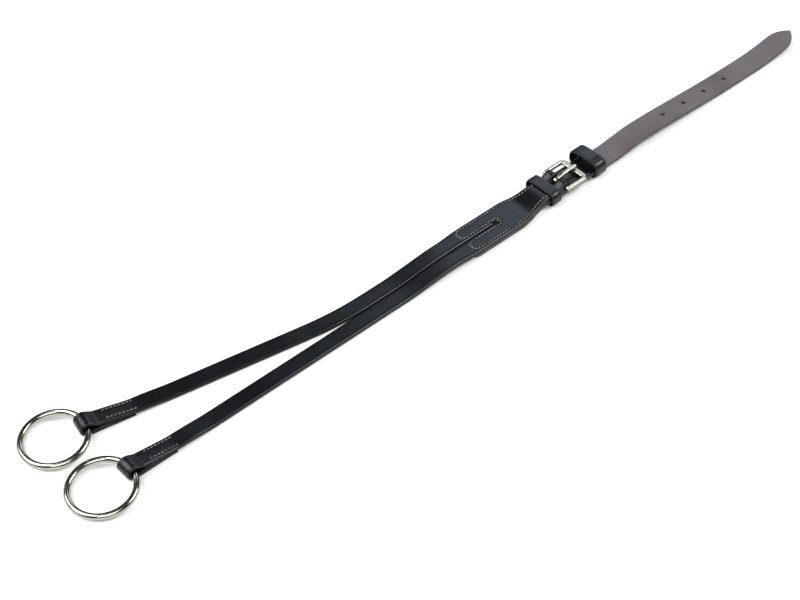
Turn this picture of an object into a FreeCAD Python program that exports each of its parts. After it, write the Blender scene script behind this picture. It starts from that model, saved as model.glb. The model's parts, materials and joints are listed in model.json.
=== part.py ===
import FreeCAD, Part
import math
import os
from types import SimpleNamespace

from FreeCAD import Placement, Rotation, Vector

# A forked leather martingale attachment, lying flat.
# +X runs along the strap towards the billet's tip, +Y to the left branch, +Z up.
# The origin is on the lining's flat underside, midway across the fork, behind the keyhole.

SIZES = (
    # straps: one top leather, and one lower leather that is lining and billet in one
    ("top_thick", 3.2, "top leather: fork and branches"),
    ("lining_thick", 3.0, "lower leather: lining and billet"),
    ("billet_width", 19.0, "width of the billet, a three-quarter inch strap"),
    ("chape_width", 19.4, "width of the top leather where it folds round the buckle's bar"),
    ("fork_width", 27.2, "widest part of the fork"),
    ("branch_width", 12.3, "width of each branch, half an inch"),
    ("slit_gap", 0.6, "slit between the two branches"),
    ("keyhole_dia", 3.8, "round hole that ends the slit"),
    ("keyhole_x", -15.0, "centre of the keyhole"),
    ("tongue_end_x", -48.0, "rounded ends of the lining's two tongues"),
    ("lining_inset", 0.4, "lining's edge inside the top leather's edge"),
    ("waist_start_x", -2.0, "where the fork begins to narrow towards the buckle"),
    ("waist_end_x", 25.0, "where it has the chape's width"),
    ("lift_start_x", 8.0, "where the stack begins to rise off the table"),
    ("lift_end_x", 27.0, "where it lies on the keepers' lower legs"),
    # chape and buckle
    ("buckle_x", 45.0, "axis of the buckle's bar"),
    ("chape_thick", 2.4, "top leather, thinned where it is folded round the bar"),
    ("chape_apex_x", 39.2, "where the folded leather's two legs meet"),
    ("tongue_slot_width", 4.6, "slot in the fold for the tongue"),
    ("tongue_slot_end", 1.0, "rear keeper to the slot's end"),
    ("bar_dia", 3.2, "buckle's bar"),
    ("bar_play", 0.08, "radial play of what turns on the bar"),
    ("frame_length", 20.0, "bar's axis to the frame's far edge"),
    ("frame_thick", 3.2, "height of the frame's metal"),
    ("frame_side", 3.2, "width of the frame's two sides"),
    ("frame_end", 4.4, "width of the frame's far side"),
    ("frame_corner", 5.0, "outer radius of the far corners"),
    ("side_gap", 0.35, "gap between the chape's edges and the frame's sides"),
    ("tongue_thick", 2.4, "height of the tongue's shank"),
    ("tongue_width", 3.2, "width of the tongue's shank"),
    ("tongue_eye", 1.5, "metal of the tongue's eye round the bar"),
    ("tongue_rise", 11.0, "bar's axis to where the shank lies level"),
    ("tongue_reach", 22.0, "bar's axis to the tongue's tip"),
    ("moving_gap", 0.3, "gap between pieces that move past each other"),
    # safe and keepers
    ("safe_thick", 2.0, "leather safe under the buckle"),
    ("safe_width", 18.0, "width of the safe"),
    ("safe_end_x", 89.0, "rounded end of the safe"),
    ("keeper_thick", 1.8, "leather of both keepers"),
    ("rear_keeper_x", 29.0, "edge of the rear keeper"),
    ("rear_keeper_width", 9.0, "length of the rear keeper along the strap"),
    ("front_keeper_x", 73.0, "edge of the front keeper"),
    ("front_keeper_width", 11.0, "length of the front keeper along the strap"),
    ("front_keeper_room", 5.0, "height of the open space in the front keeper"),
    ("keeper_play", 1.0, "room between a keeper and the strap's edges, taken up by its round turns"),
    ("keeper_corner", 3.6, "outside radius of the keepers' turns"),
    # billet
    ("billet_bend_x", 102.0, "line on which the billet bends"),
    ("billet_crest_x", 130.0, "highest point of the billet behind the keeper"),
    ("billet_crest_z", 4.8, "height of its underside there"),
    ("billet_rest_x", 232.0, "where the billet comes down to the table"),
    ("billet_curl_x", 262.0, "where the tip begins to curl up"),
    ("billet_tip_x", 305.0, "tip of the billet"),
    ("billet_tip_z", 7.0, "height of the tip's underside"),
    ("point_length", 17.0, "length of the pointed end"),
    ("point_nose", 1.8, "radius of the point's nose"),
    ("hole_dia", 3.4, "punched holes for the tongue"),
    ("hole_first_x", 157.6, "first punched hole"),
    ("hole_pitch", 23.1, "distance between punched holes"),
    ("hole_count", 4, "number of punched holes"),
    # branches and rings
    ("branch_bend_x", -62.0, "line on which the branches bend"),
    ("branch_rest_x", -112.0, "where the branches come down to the table"),
    ("parting_x", -153.3, "middle of the curve where the branches part"),
    ("parting_reach", 25.0, "half the length of that curve"),
    ("left_splay", 10.9, "angle between the left branch and the strap, degrees"),
    ("right_splay", 0.0, "angle between the right branch and the strap, degrees"),
    ("left_run", 157.4, "straight stretch of the left branch, to its ring's wire"),
    ("right_run", 154.2, "straight stretch of the right branch, to its ring's wire"),
    ("loop_thick", 2.5, "top leather, thinned where it is folded round a ring"),
    ("loop_room", 0.9, "room round the ring's wire inside its fold, for the wire's curve"),
    ("loop_apex", 16.0, "ring's wire to where the fold's two legs meet"),
    ("turn_back", 33.0, "ring's wire to the end of the turned-back leather"),
    ("turn_back_run_out", 17.0, "length over which the branch comes down behind it"),
    ("ring_bore", 38.0, "inside diameter of the rings"),
    ("ring_wire", 4.5, "diameter of the rings' wire"),
    # stitching
    ("thread_dia", 0.6, "width of a stitch"),
    ("stitch_pitch", 2.9, "distance from one awl hole to the next"),
    ("stitch_rest", 0.8, "part of the pitch that the thread spends in the hole"),
    ("stitch_margin", 2.1, "edge of the leather to the row of stitches"),
)

doc = FreeCAD.newDocument("martingale")
sheet = doc.addObject("Spreadsheet::Sheet", "sizes")
for row, (alias, value, meaning) in enumerate(SIZES, start=1):
    sheet.set(f"A{row}", meaning)
    sheet.set(f"B{row}", str(value))
    sheet.setAlias(f"B{row}", alias)
doc.recompute()
S = SimpleNamespace(**{alias: float(sheet.get(alias)) for alias, _, _ in SIZES})

NOSE_TURN = math.radians(60)                    # half the turn of the billet's nose
EDGE_ROUND = 0.36                               # fillet of the buckle, as a share of its height
STITCH_LIFT = 0.05                              # keeps a straight stitch off a curved surface

# Heights of the stack over the table, which several pieces share.
STACK = S.keeper_thick                          # lining's underside between the keepers
LINING_TOP = STACK + S.lining_thick
CHAPE_TOP = LINING_TOP + 2 * S.chape_thick
BAR_R = S.bar_dia / 2
BAR_BORE = BAR_R + S.bar_play
EYE_R = BAR_BORE + S.tongue_eye
BAR_Z = LINING_TOP + S.chape_thick + BAR_BORE
SAFE_TOP = LINING_TOP + S.safe_thick
FORK_TOP = S.lining_thick + S.top_thick
BRANCH_END_X = S.branch_bend_x + S.top_thick / 2 + S.moving_gap
BILLET_END_X = S.billet_bend_x - S.lining_thick / 2 - S.moving_gap
LOOP_BORE_R = S.ring_wire / 2 + S.loop_room
BRANCH_PAIR = 2 * S.branch_width + S.slit_gap


# ---------------------------------------------------------------- drawing helpers

def flat(point):
    """A point of a plan drawing."""
    return Vector(point[0], point[1], 0)


def upright(point):
    """A point of a side drawing, in the XZ plane."""
    return Vector(point[0], 0, point[1])


def line(a, b, place):
    return Part.LineSegment(place(a), place(b)).toShape()


def arc(a, middle, b, place):
    return Part.Arc(place(a), place(middle), place(b)).toShape()


def bend_at(a, b, x):
    """Height at x of the arc that leaves a level and passes through b."""
    run, rise = b[0] - a[0], b[1] - a[1]
    radius = (run * run + rise * rise) / (2 * abs(rise))
    return a[1] + math.copysign(radius - math.sqrt(radius ** 2 - (x - a[0]) ** 2), rise)


def bend(a, b, place):
    """An arc that leaves a level and ends at b."""
    x = (a[0] + b[0]) / 2
    return arc(a, (x, bend_at(a, b, x)), b, place)


def halfway(a, b):
    return (a[0] + b[0]) / 2, (a[1] + b[1]) / 2


def rail(stations, place):
    """Edges along stations: level lines, and a double arc wherever the height changes."""
    edges = []
    for a, b in zip(stations, stations[1:]):
        if a[1] == b[1]:
            edges.append(line(a, b, place))
        else:
            edges += [bend(a, halfway(a, b), place), bend(b, halfway(a, b), place)]
    return edges


def rail_at(stations, x):
    """Height of a rail at x."""
    for a, b in zip(stations, stations[1:]):
        if min(a[0], b[0]) <= x <= max(a[0], b[0]):
            near = a if abs(x - a[0]) <= abs(x - b[0]) else b
            return a[1] if a[1] == b[1] else bend_at(near, halfway(a, b), x)
    raise ValueError(f"no height at {x}")


def face(edges):
    return Part.Face(Part.Wire(Part.__sortEdges__(edges)))


def across(side_face, width, centre_y=0.0):
    """A side drawing as a solid of this width."""
    side_face.translate(Vector(0, centre_y - width / 2, 0))
    return side_face.extrude(Vector(0, width, 0))


def through(plan_face, height=60.0):
    """A plan drawing as a tall solid that cuts straps to their outline."""
    plan_face.translate(Vector(0, 0, -height / 2))
    return plan_face.extrude(Vector(0, 0, height))


def drill(x, y, diameter):
    return Part.makeCylinder(diameter / 2, 60, Vector(x, y, -30))


def add_shape(label, shape):
    """A sub-part whose form is worked out above; the sheet gives all its sizes."""
    item = doc.addObject("Part::Feature", label)
    item.Label = label
    item.Shape = shape.removeSplitter()
    item.Placement = Placement()
    return item


def fold(centre_x, apex_x, low, thick, bore_r):
    """A strap folded back under itself round a bar: where its edges meet its two circles."""
    way = math.copysign(1, centre_x - apex_x)
    centre = (centre_x, low + thick + bore_r)
    slope = 2 * math.atan(bore_r / abs(centre_x - apex_x))
    outer_r = bore_r + thick

    def on_circle(radius, angle):
        return centre[0] + way * radius * math.cos(angle), centre[1] + radius * math.sin(angle)

    leave = math.pi / 2 + slope
    top = on_circle(outer_r, leave)
    drop = top[1] - (low + 2 * thick)
    return SimpleNamespace(
        centre=centre,
        top=top,
        shoulder=(top[0] - way * drop / math.tan(slope), low + 2 * thick),
        nose=on_circle(outer_r, (leave - math.pi / 2) / 2),
        bottom=(centre_x, low),
        bore_bottom=(centre_x, low + thick),
        bore_nose=on_circle(bore_r, (leave - math.pi / 2) / 2),
        bore_top=on_circle(bore_r, leave),
        apex=(apex_x, low + thick),
    )


def fold_edges(f):
    """Outer edges of a fold, from its shoulder round to its bottom."""
    return [
        line(f.shoulder, f.top, upright),
        arc(f.top, f.nose, f.bottom, upright),
    ]


def fold_hole(f):
    """The space inside a fold, round its bar."""
    return face([
        arc(f.bore_bottom, f.bore_nose, f.bore_top, upright),
        line(f.bore_top, f.apex, upright),
        line(f.apex, f.bore_bottom, upright),
    ])


# ---------------------------------------------------------------- outlines that pieces share

HALF_FORK = (
    (BRANCH_END_X, BRANCH_PAIR / 2),
    (BRANCH_END_X + 20, S.fork_width / 2),
    (S.waist_start_x, S.fork_width / 2),
    (S.waist_end_x, S.chape_width / 2),
    (S.buckle_x + 10, S.chape_width / 2),
)
LINING_TOP_RAIL = (
    (S.tongue_end_x, S.lining_thick),
    (S.lift_start_x, S.lining_thick),
    (S.lift_end_x, LINING_TOP),
    (BILLET_END_X, LINING_TOP),
)
FORK_TOP_RAIL = (
    (BRANCH_END_X, FORK_TOP),
    (S.lift_start_x, FORK_TOP),
    (S.lift_end_x, CHAPE_TOP),
)


def mirrored(stations):
    return [(x, -y) for x, y in stations]


def outline(stations):
    """A closed plan drawing, the same on both sides of the centre line."""
    first, last = stations[0], stations[-1]
    edges = rail(stations, flat) + rail(mirrored(stations), flat)
    edges.append(line(first, (first[0], -first[1]), flat))
    edges.append(line(last, (last[0], -last[1]), flat))
    return face(edges)


def slit(start_x):
    """What the slit and its keyhole take away, from start_x to the keyhole."""
    cut = Part.makeBox(S.keyhole_x - start_x, S.slit_gap, 60, Vector(start_x, -S.slit_gap / 2, -30))
    return cut.fuse(drill(S.keyhole_x, 0, S.keyhole_dia))


# ---------------------------------------------------------------- top leather

def make_fork_strap():
    """The fork's top leather, with its end folded round the buckle's bar and turned back."""
    f = fold(S.buckle_x, S.chape_apex_x, LINING_TOP, S.chape_thick, BAR_BORE)
    low = ((BRANCH_END_X, S.lining_thick), *LINING_TOP_RAIL[1:3], f.bottom)
    top = FORK_TOP_RAIL + (f.shoulder,)
    edges = rail(low, upright) + rail(top, upright) + fold_edges(f)
    edges.append(line(low[0], top[0], upright))
    strap = across(face(edges), S.fork_width + 10)
    strap = strap.cut(across(fold_hole(f), S.fork_width + 20))
    strap = strap.common(through(outline(HALF_FORK)))
    strap = strap.cut(slit(BRANCH_END_X - 5))
    slot_x = S.rear_keeper_x + S.rear_keeper_width + S.tongue_slot_end
    corner = Vector(slot_x, -S.tongue_slot_width / 2, 0)
    strap = strap.cut(Part.makeBox(S.frame_length, S.tongue_slot_width, 30, corner))
    add_shape("fork_strap", strap)


def parting_curve(side, splay, offset):
    """Start, middle and end of a branch's edge through its curve, offset from the centre line."""
    centre_y = side * (S.slit_gap + S.branch_width) / 2
    start = (S.parting_x + S.parting_reach, centre_y + side * offset)
    if splay < 1e-6:
        end = (S.parting_x - S.parting_reach, start[1])
        return start, None, end
    angle = math.radians(splay)
    radius = S.parting_reach / math.tan(angle / 2)
    pivot_y = centre_y + side * radius
    reach = radius - offset

    def at(turn):
        return start[0] - reach * math.sin(turn), pivot_y - side * reach * math.cos(turn)

    return start, at(angle / 2), at(angle)


def ring_point(side, splay, run):
    """Where a branch holds its ring: the middle of the wire inside the fold, in plan."""
    end = parting_curve(side, splay, 0)[2]
    angle = math.radians(splay)
    return end[0] - run * math.cos(angle), end[1] + side * run * math.sin(angle)


def branch_plan(side, splay, length):
    """Plan drawing of a branch from its bend line to a point on its straight stretch."""
    angle = math.radians(splay)
    ends, edges = [], []
    for offset in (-S.branch_width / 2, S.branch_width / 2):
        start, middle, end = parting_curve(side, splay, offset)
        root = (BRANCH_END_X, start[1])
        far = (end[0] - length * math.cos(angle), end[1] + side * length * math.sin(angle))
        edges.append(line(root, start, flat))
        edges.append(arc(start, middle, end, flat) if middle else line(start, end, flat))
        edges.append(line(end, far, flat))
        ends.append((root, far))
    edges.append(line(ends[0][0], ends[1][0], flat))
    edges.append(line(ends[0][1], ends[1][1], flat))
    return face(edges)


def make_branch(label, side, splay, run):
    """A branch: round end on the bend line, down to the table, fold round the ring, turn-back."""
    joint_x = S.branch_bend_x
    low = ((joint_x, S.lining_thick), (S.branch_rest_x, 0), (-400, 0))
    top = ((joint_x, FORK_TOP), (S.branch_rest_x, S.top_thick), (-400, S.top_thick))
    knuckle = (joint_x + S.top_thick / 2, S.lining_thick + S.top_thick / 2)
    edges = rail(low, upright) + rail(top, upright)
    edges.append(arc(low[0], knuckle, top[0], upright))
    edges.append(line(low[-1], top[-1], upright))
    tail = S.turn_back + S.turn_back_run_out + 10
    strap = across(face(edges), 200).common(through(branch_plan(side, splay, run - tail)))

    f = fold(0, S.loop_apex, 0, S.loop_thick, LOOP_BORE_R)
    doubled = 2 * S.loop_thick
    top = ((tail, S.top_thick), (S.turn_back + S.turn_back_run_out, S.top_thick),
           (S.turn_back, doubled), f.shoulder)
    edges = rail(top, upright) + fold_edges(f)
    edges.append(line(f.bottom, (tail, 0), upright))
    edges.append(line((tail, 0), top[0], upright))
    end = across(face(edges), S.branch_width).cut(across(fold_hole(f), S.branch_width + 5))
    place_at_ring(end, side, splay, run)
    add_shape(label, strap.fuse(end))


def place_at_ring(shape, side, splay, run):
    """Move a piece drawn with the ring's wire at x = 0 to the end of its branch."""
    x, y = ring_point(side, splay, run)
    shape.Placement = Placement(Vector(x, y, 0), Rotation(Vector(0, 0, 1), -side * splay))


# ---------------------------------------------------------------- lower leather

def make_lining():
    """The lining: two tongues beside the slit, then one strap under the buckle and keepers."""
    stations = [(S.tongue_end_x, S.fork_width / 2 - S.lining_inset),
                (S.waist_start_x, S.fork_width / 2 - S.lining_inset),
                (S.waist_end_x, S.billet_width / 2), (BILLET_END_X, S.billet_width / 2)]
    low = ((S.tongue_end_x, 0), (S.lift_start_x, 0), (S.lift_end_x, STACK), (BILLET_END_X, STACK))
    edges = rail(low, upright) + rail(LINING_TOP_RAIL, upright)
    edges.append(line(low[0], LINING_TOP_RAIL[0], upright))
    edges.append(line(low[-1], LINING_TOP_RAIL[-1], upright))
    strap = across(face(edges), S.fork_width + 10)
    strap = strap.common(through(outline(stations))).cut(slit(S.tongue_end_x - 5))
    tongue = stations[0][1] - S.slit_gap / 2
    for side in (1, -1):
        middle = side * (S.slit_gap + tongue) / 2
        strap = strap.cut(tongue_corners(middle, tongue / 2))
    add_shape("lining_strap", strap)


def tongue_corners(middle_y, radius):
    """The two corners cut off a lining tongue to leave its round end."""
    x = S.tongue_end_x
    block = Part.makeBox(radius, 2 * radius, 20, Vector(x, middle_y - radius, -10))
    return block.cut(Part.makeCylinder(radius, 20, Vector(x + radius, middle_y, -10)))


def make_billet():
    """The free tail of the lower leather, pointed, with a row of punched holes."""
    x0, tip = S.billet_bend_x, S.billet_tip_x
    thick, half = S.lining_thick, S.billet_width / 2
    low = ((x0, STACK), (S.billet_crest_x, S.billet_crest_z), (S.billet_rest_x, 0),
           (S.billet_curl_x, 0), (tip, S.billet_tip_z))
    top = [(x, z + thick) for x, z in low]
    edges = rail(low, upright) + rail(top, upright)
    edges.append(arc(low[0], (x0 - thick / 2, STACK + thick / 2), top[0], upright))
    edges.append(line(low[-1], top[-1], upright))
    strap = across(face(edges), S.billet_width)

    root_x, shoulder_x = x0 - thick, tip - S.point_length
    nose = (tip - S.point_nose * (1 - math.cos(NOSE_TURN)), S.point_nose * math.sin(NOSE_TURN))
    edges = [
        line((root_x, half), (shoulder_x, half), flat),
        line((root_x, -half), (shoulder_x, -half), flat),
        line((root_x, -half), (root_x, half), flat),
        bend((shoulder_x, half), nose, flat),
        bend((shoulder_x, -half), (nose[0], -nose[1]), flat),
        arc(nose, (tip, 0), (nose[0], -nose[1]), flat),
    ]
    strap = strap.common(through(face(edges)))
    for i in range(int(S.hole_count)):
        strap = strap.cut(drill(S.hole_first_x + i * S.hole_pitch, 0, S.hole_dia))
    add_shape("billet_strap", strap)


# ---------------------------------------------------------------- bodies with features

def new_body(label):
    body = doc.addObject("PartDesign::Body", label)
    body.Label = label
    return body


def new_sketch(body, role, geometry):
    """A sketch on one of the body's own origin planes."""
    sketch = body.newObject("Sketcher::SketchObject", f"{body.Name}_{role[:2].lower()}")
    plane = next(f for f in body.Origin.OriginFeatures if f.Role == role)
    sketch.AttachmentSupport = [(plane, "")]
    sketch.MapMode = "FlatFace"
    sketch.addGeometry(geometry, False)
    doc.recompute()
    return sketch


def new_pad(body, sketch, length, middle=False):
    """A pad whose length is an expression on the sheet."""
    pad = body.newObject("PartDesign::Pad", f"{body.Name}_pad")
    pad.Profile = sketch
    pad.Midplane = middle
    pad.setExpression("Length", length)
    doc.recompute()
    return pad


def cut_through(body, sketch):
    """A pocket through all of the body both ways, checked to take material away."""
    before = body.Shape.Volume
    pocket = body.newObject("PartDesign::Pocket", f"{body.Name}_pocket")
    pocket.Profile = sketch
    pocket.Midplane = True
    pocket.Type = "ThroughAll"
    doc.recompute()
    if body.Shape.Volume >= before - 1e-6:
        raise ValueError(f"{body.Label}: the pocket takes nothing away")
    return pocket


def round_edges(body, radius, chosen):
    """A fillet on the edges that the test picks."""
    base = body.Tip
    names = [f"Edge{i}" for i, edge in enumerate(base.Shape.Edges, start=1) if chosen(edge)]
    fillet = body.newObject("PartDesign::Fillet", f"{body.Name}_fillet")
    fillet.Base = (base, names)
    fillet.Radius = radius
    doc.recompute()
    return fillet


def rounded_box(x0, x1, y0, y1, radius):
    """A rectangle with round corners, as sketch geometry."""
    geometry = [
        Part.LineSegment(Vector(x0 + radius, y0), Vector(x1 - radius, y0)),
        Part.LineSegment(Vector(x1, y0 + radius), Vector(x1, y1 - radius)),
        Part.LineSegment(Vector(x1 - radius, y1), Vector(x0 + radius, y1)),
        Part.LineSegment(Vector(x0, y1 - radius), Vector(x0, y0 + radius)),
    ]
    corners = ((x1 - radius, y0 + radius, 270), (x1 - radius, y1 - radius, 0),
               (x0 + radius, y1 - radius, 90), (x0 + radius, y0 + radius, 180))
    for x, y, start in corners:
        circle = Part.Circle(Vector(x, y), Vector(0, 0, 1), radius)
        first = math.radians(start)
        geometry.append(Part.ArcOfCircle(circle, first, first + math.pi / 2))
    return geometry


def make_keeper(label, x_name, width_name, strap_width, inner_top):
    """A keeper: a band of leather closed round the whole stack, its lower leg on the table."""
    body = new_body(label)
    half = strap_width / 2 + S.keeper_play + S.keeper_thick
    top = inner_top + S.keeper_thick
    band = new_sketch(body, "YZ_Plane", rounded_box(-half, half, 0, top, S.keeper_corner))
    new_pad(body, band, f"sizes.{width_name}")
    hollow = rounded_box(-half + S.keeper_thick, half - S.keeper_thick,
                         S.keeper_thick, inner_top, S.keeper_play)
    cut_through(body, new_sketch(body, "YZ_Plane", hollow))
    body.setExpression(".Placement.Base.x", f"sizes.{x_name}")
    doc.recompute()
    return body


def make_safe():
    """The safe: a tab of leather under the buckle, rounded at its front end."""
    body = new_body("buckle_safe")
    half = S.safe_width / 2
    start = S.buckle_x + BAR_BORE + S.chape_thick + S.moving_gap
    middle = S.safe_end_x - half
    circle = Part.Circle(Vector(middle, 0), Vector(0, 0, 1), half)
    plan = new_sketch(body, "XY_Plane", [
        Part.LineSegment(Vector(start, half), Vector(start, -half)),
        Part.LineSegment(Vector(start, -half), Vector(middle, -half)),
        Part.ArcOfCircle(circle, -math.pi / 2, math.pi / 2),
        Part.LineSegment(Vector(middle, half), Vector(start, half)),
    ])
    new_pad(body, plan, "sizes.safe_thick")
    body.setExpression(".Placement.Base.z", "sizes.keeper_thick + sizes.lining_thick")


def make_buckle_frame():
    """The buckle: a bar between two sides, and a wide far side, in one casting."""
    body = new_body("buckle_frame")
    inner_half = S.chape_width / 2 + S.side_gap
    half = inner_half + S.frame_side
    inner_far = S.frame_length - S.frame_end
    back = -BAR_R - 0.3
    outer = rounded_box(back, S.frame_length, -half, half, S.frame_corner)
    new_pad(body, new_sketch(body, "XY_Plane", outer), "sizes.frame_thick", middle=True)
    window = rounded_box(back - 5, inner_far, -inner_half, inner_half,
                         max(0.8, S.frame_corner - S.frame_side))
    cut_through(body, new_sketch(body, "XY_Plane", window))
    round_edges(body, S.frame_thick * EDGE_ROUND, lambda edge: abs(edge.BoundBox.ZLength) < 1e-6)
    bar = new_sketch(body, "XZ_Plane", [Part.Circle(Vector(0, 0), Vector(0, 0, 1), BAR_R)])
    new_pad(body, bar, "sizes.chape_width + 2 * sizes.side_gap + sizes.frame_side", middle=True)
    body.Placement = Placement(Vector(S.buckle_x, 0, BAR_Z), Rotation())


def make_buckle_tongue():
    """The tongue: an eye round the bar and a shank that lies over the frame's far side."""
    body = new_body("buckle_tongue")
    low = S.frame_thick / 2 + S.moving_gap
    top = low + S.tongue_thick
    nose = S.tongue_thick / 2
    nose_x = S.tongue_reach - nose
    side = [
        Part.LineSegment(Vector(0, EYE_R), Vector(S.tongue_rise, top)),
        Part.LineSegment(Vector(S.tongue_rise, top), Vector(nose_x, top)),
        Part.Arc(Vector(nose_x, top), Vector(S.tongue_reach, top - nose), Vector(nose_x, low)),
        Part.LineSegment(Vector(nose_x, low), Vector(S.tongue_rise, low)),
        Part.LineSegment(Vector(S.tongue_rise, low), Vector(EYE_R, 0)),
    ]
    circle = Part.Circle(Vector(0, 0), Vector(0, 0, 1), EYE_R)
    side.append(Part.ArcOfCircle(circle, math.pi / 2, 2 * math.pi))
    new_pad(body, new_sketch(body, "XZ_Plane", side), "sizes.tongue_width", middle=True)
    bore = [Part.Circle(Vector(0, 0), Vector(0, 0, 1), BAR_BORE)]
    cut_through(body, new_sketch(body, "XZ_Plane", bore))
    body.Placement = Placement(Vector(S.buckle_x, 0, BAR_Z), Rotation())


def make_ring(label, side, splay, run):
    """A ring of round wire, its near side inside the branch's fold and its far side on the table."""
    ring = doc.addObject("Part::Torus", label)
    ring.Label = label
    ring.setExpression("Radius1", "(sizes.ring_bore + sizes.ring_wire) / 2")
    ring.setExpression("Radius2", "sizes.ring_wire / 2")
    wire_r = S.ring_wire / 2
    radius = S.ring_bore / 2 + wire_r
    bow = radius - math.sqrt(radius ** 2 - (S.branch_width / 2) ** 2)
    reach = radius - bow / 2
    axis_z = S.loop_thick + LOOP_BORE_R
    tilt = math.asin((axis_z - wire_r) / (radius + reach))
    x, y = ring_point(side, splay, run)
    turn = Rotation(Vector(0, 0, 1), -side * splay)
    lean = Rotation(Vector(0, 1, 0), -math.degrees(tilt))
    centre = Vector(-reach * math.cos(tilt), 0, -reach * math.sin(tilt))
    ring.Placement = Placement(Vector(x, y, axis_z) + turn.multVec(centre), turn * lean)


# ---------------------------------------------------------------- stitching

def stitches(path, height):
    """Stitches along a flat path, each from one awl hole towards the next, on a surface."""
    count = max(2, round(path.Length / S.stitch_pitch)) + 1
    points = [Vector(p.x, p.y, height(p.x, p.y)) for p in path.discretize(Number=count)]
    made = []
    for a, b in zip(points, points[1:]):
        along = (b - a).normalize()
        length = (b - a).Length - S.stitch_rest
        stitch = Part.makeBox(length, S.thread_dia, S.thread_dia / 2,
                              Vector(-length / 2, -S.thread_dia / 2, 0))
        level = Vector(0, 0, 1).cross(along)
        turn = Rotation(along, level, Vector(0, 0, 1), "XYZ")
        lift = Vector(0, 0, STITCH_LIFT if abs(along.z) > 1e-6 else 0)
        stitch.Placement = Placement((a + b) / 2 + lift, turn)
        made.append(stitch)
    return made


def make_fork_seam(label, side):
    """One half's stitching: along the edge, round the lining tongue, back along the slit."""
    outer = [(x, y - S.stitch_margin) for x, y in HALF_FORK]
    inner_y = S.slit_gap / 2 + S.stitch_margin
    outer_y = outer[1][1]
    turn_r = (outer_y - inner_y) / 2
    turn_x = S.tongue_end_x + turn_r + S.stitch_margin
    edge = [(turn_x, outer_y), (S.waist_start_x, outer_y), outer[3], (S.rear_keeper_x, outer[3][1])]
    eye_r = S.keyhole_dia / 2 + S.stitch_margin
    eye_x = S.keyhole_x - math.sqrt(eye_r ** 2 - inner_y ** 2)
    edges = rail(edge, flat)
    edges.append(arc((turn_x, outer_y), (turn_x - turn_r, (outer_y + inner_y) / 2),
                     (turn_x, inner_y), flat))
    edges.append(line((turn_x, inner_y), (eye_x, inner_y), flat))
    half = math.atan2(inner_y, eye_x - S.keyhole_x) / 2
    edges.append(arc((eye_x, inner_y),
                     (S.keyhole_x + eye_r * math.cos(half), eye_r * math.sin(half)),
                     (S.keyhole_x + eye_r, 0), flat))
    path = Part.Wire(Part.__sortEdges__(edges))
    if side < 0:
        path = path.mirror(Vector(0, 0, 0), Vector(0, 1, 0))
    rows = stitches(path, lambda x, y: rail_at(FORK_TOP_RAIL + ((60, CHAPE_TOP),), x))
    add_group(label, rows)


def make_loop_seam(label, side, splay, run, row):
    """A row of stitches that closes the fold round a ring."""
    f = fold(0, S.loop_apex, 0, S.loop_thick, LOOP_BORE_R)
    y = row * (S.branch_width / 2 - S.stitch_margin)
    start, end = f.shoulder[0] + 1.0, S.turn_back - 2.0
    path = Part.Wire([line((start, y), (end, y), flat)])
    group = Part.makeCompound(stitches(path, lambda x, y: 2 * S.loop_thick))
    place_at_ring(group, side, splay, run)
    add_group(label, group.Solids)


def make_safe_seam():
    """The safe's stitching, round its front end where it comes out of the keeper."""
    radius = S.safe_width / 2 - S.stitch_margin
    middle = S.safe_end_x - S.safe_width / 2
    ends = [(middle, radius), (middle + radius, 0), (middle, -radius)]
    path = Part.Wire([arc(*ends, flat)])
    keeper_end = S.front_keeper_x + S.front_keeper_width
    rows = stitches(path, lambda x, y: SAFE_TOP)
    add_group("safe_seam", [s for s in rows if s.BoundBox.XMin > S.front_keeper_x - 10])


def add_group(label, solids):
    """A node of many small separate solids."""
    item = doc.addObject("Part::Feature", label)
    item.Label = label
    item.Shape = Part.makeCompound(solids)
    item.Placement = Placement()


# ---------------------------------------------------------------- the whole part

make_fork_strap()
make_lining()
make_safe()
make_keeper("rear_keeper", "rear_keeper_x", "rear_keeper_width",
            max(S.chape_width, S.billet_width), CHAPE_TOP)
make_keeper("front_keeper", "front_keeper_x", "front_keeper_width",
            max(S.billet_width, S.safe_width), SAFE_TOP + S.front_keeper_room)
make_buckle_frame()
make_buckle_tongue()
make_billet()
make_safe_seam()
for side_name, side, splay, run in (("left", 1, S.left_splay, S.left_run),
                                    ("right", -1, S.right_splay, S.right_run)):
    make_branch(f"{side_name}_branch_strap", side, splay, run)
    make_ring(f"{side_name}_ring", side, splay, run)
    make_fork_seam(f"{side_name}_fork_seam", side)
    make_loop_seam(f"{side_name}_loop_seam_outer", side, splay, run, side)
    make_loop_seam(f"{side_name}_loop_seam_inner", side, splay, run, -side)
doc.recompute()

for item in doc.Objects:
    if "Invalid" in item.State or "Error" in item.State:
        raise ValueError(f"{item.Label} failed: {item.State}")

NODE_TYPES = ("PartDesign::Body", "Part::Feature", "Part::Torus")
nodes = [item for item in doc.Objects if item.TypeId in NODE_TYPES]
os.makedirs("parts", exist_ok=True)
for node in nodes:
    if node.Shape.isNull() or not node.Shape.isValid():
        raise ValueError(f"{node.Label} has no valid shape")
for node in nodes:
    node.Shape.exportStep(f"parts/{node.Label}.step")
    box = node.Shape.BoundBox
    print(f"{node.Label}: {len(node.Shape.Solids)} solids, {node.Shape.Volume:.1f} mm3, "
          f"X {box.XMin:.1f}..{box.XMax:.1f} Y {box.YMin:.1f}..{box.YMax:.1f} "
          f"Z {box.ZMin:.2f}..{box.ZMax:.2f}")
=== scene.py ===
import json
import math

import bmesh
import bpy
import numpy as np
from bpy.props import FloatProperty, FloatVectorProperty, PointerProperty
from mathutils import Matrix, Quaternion, Vector


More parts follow.
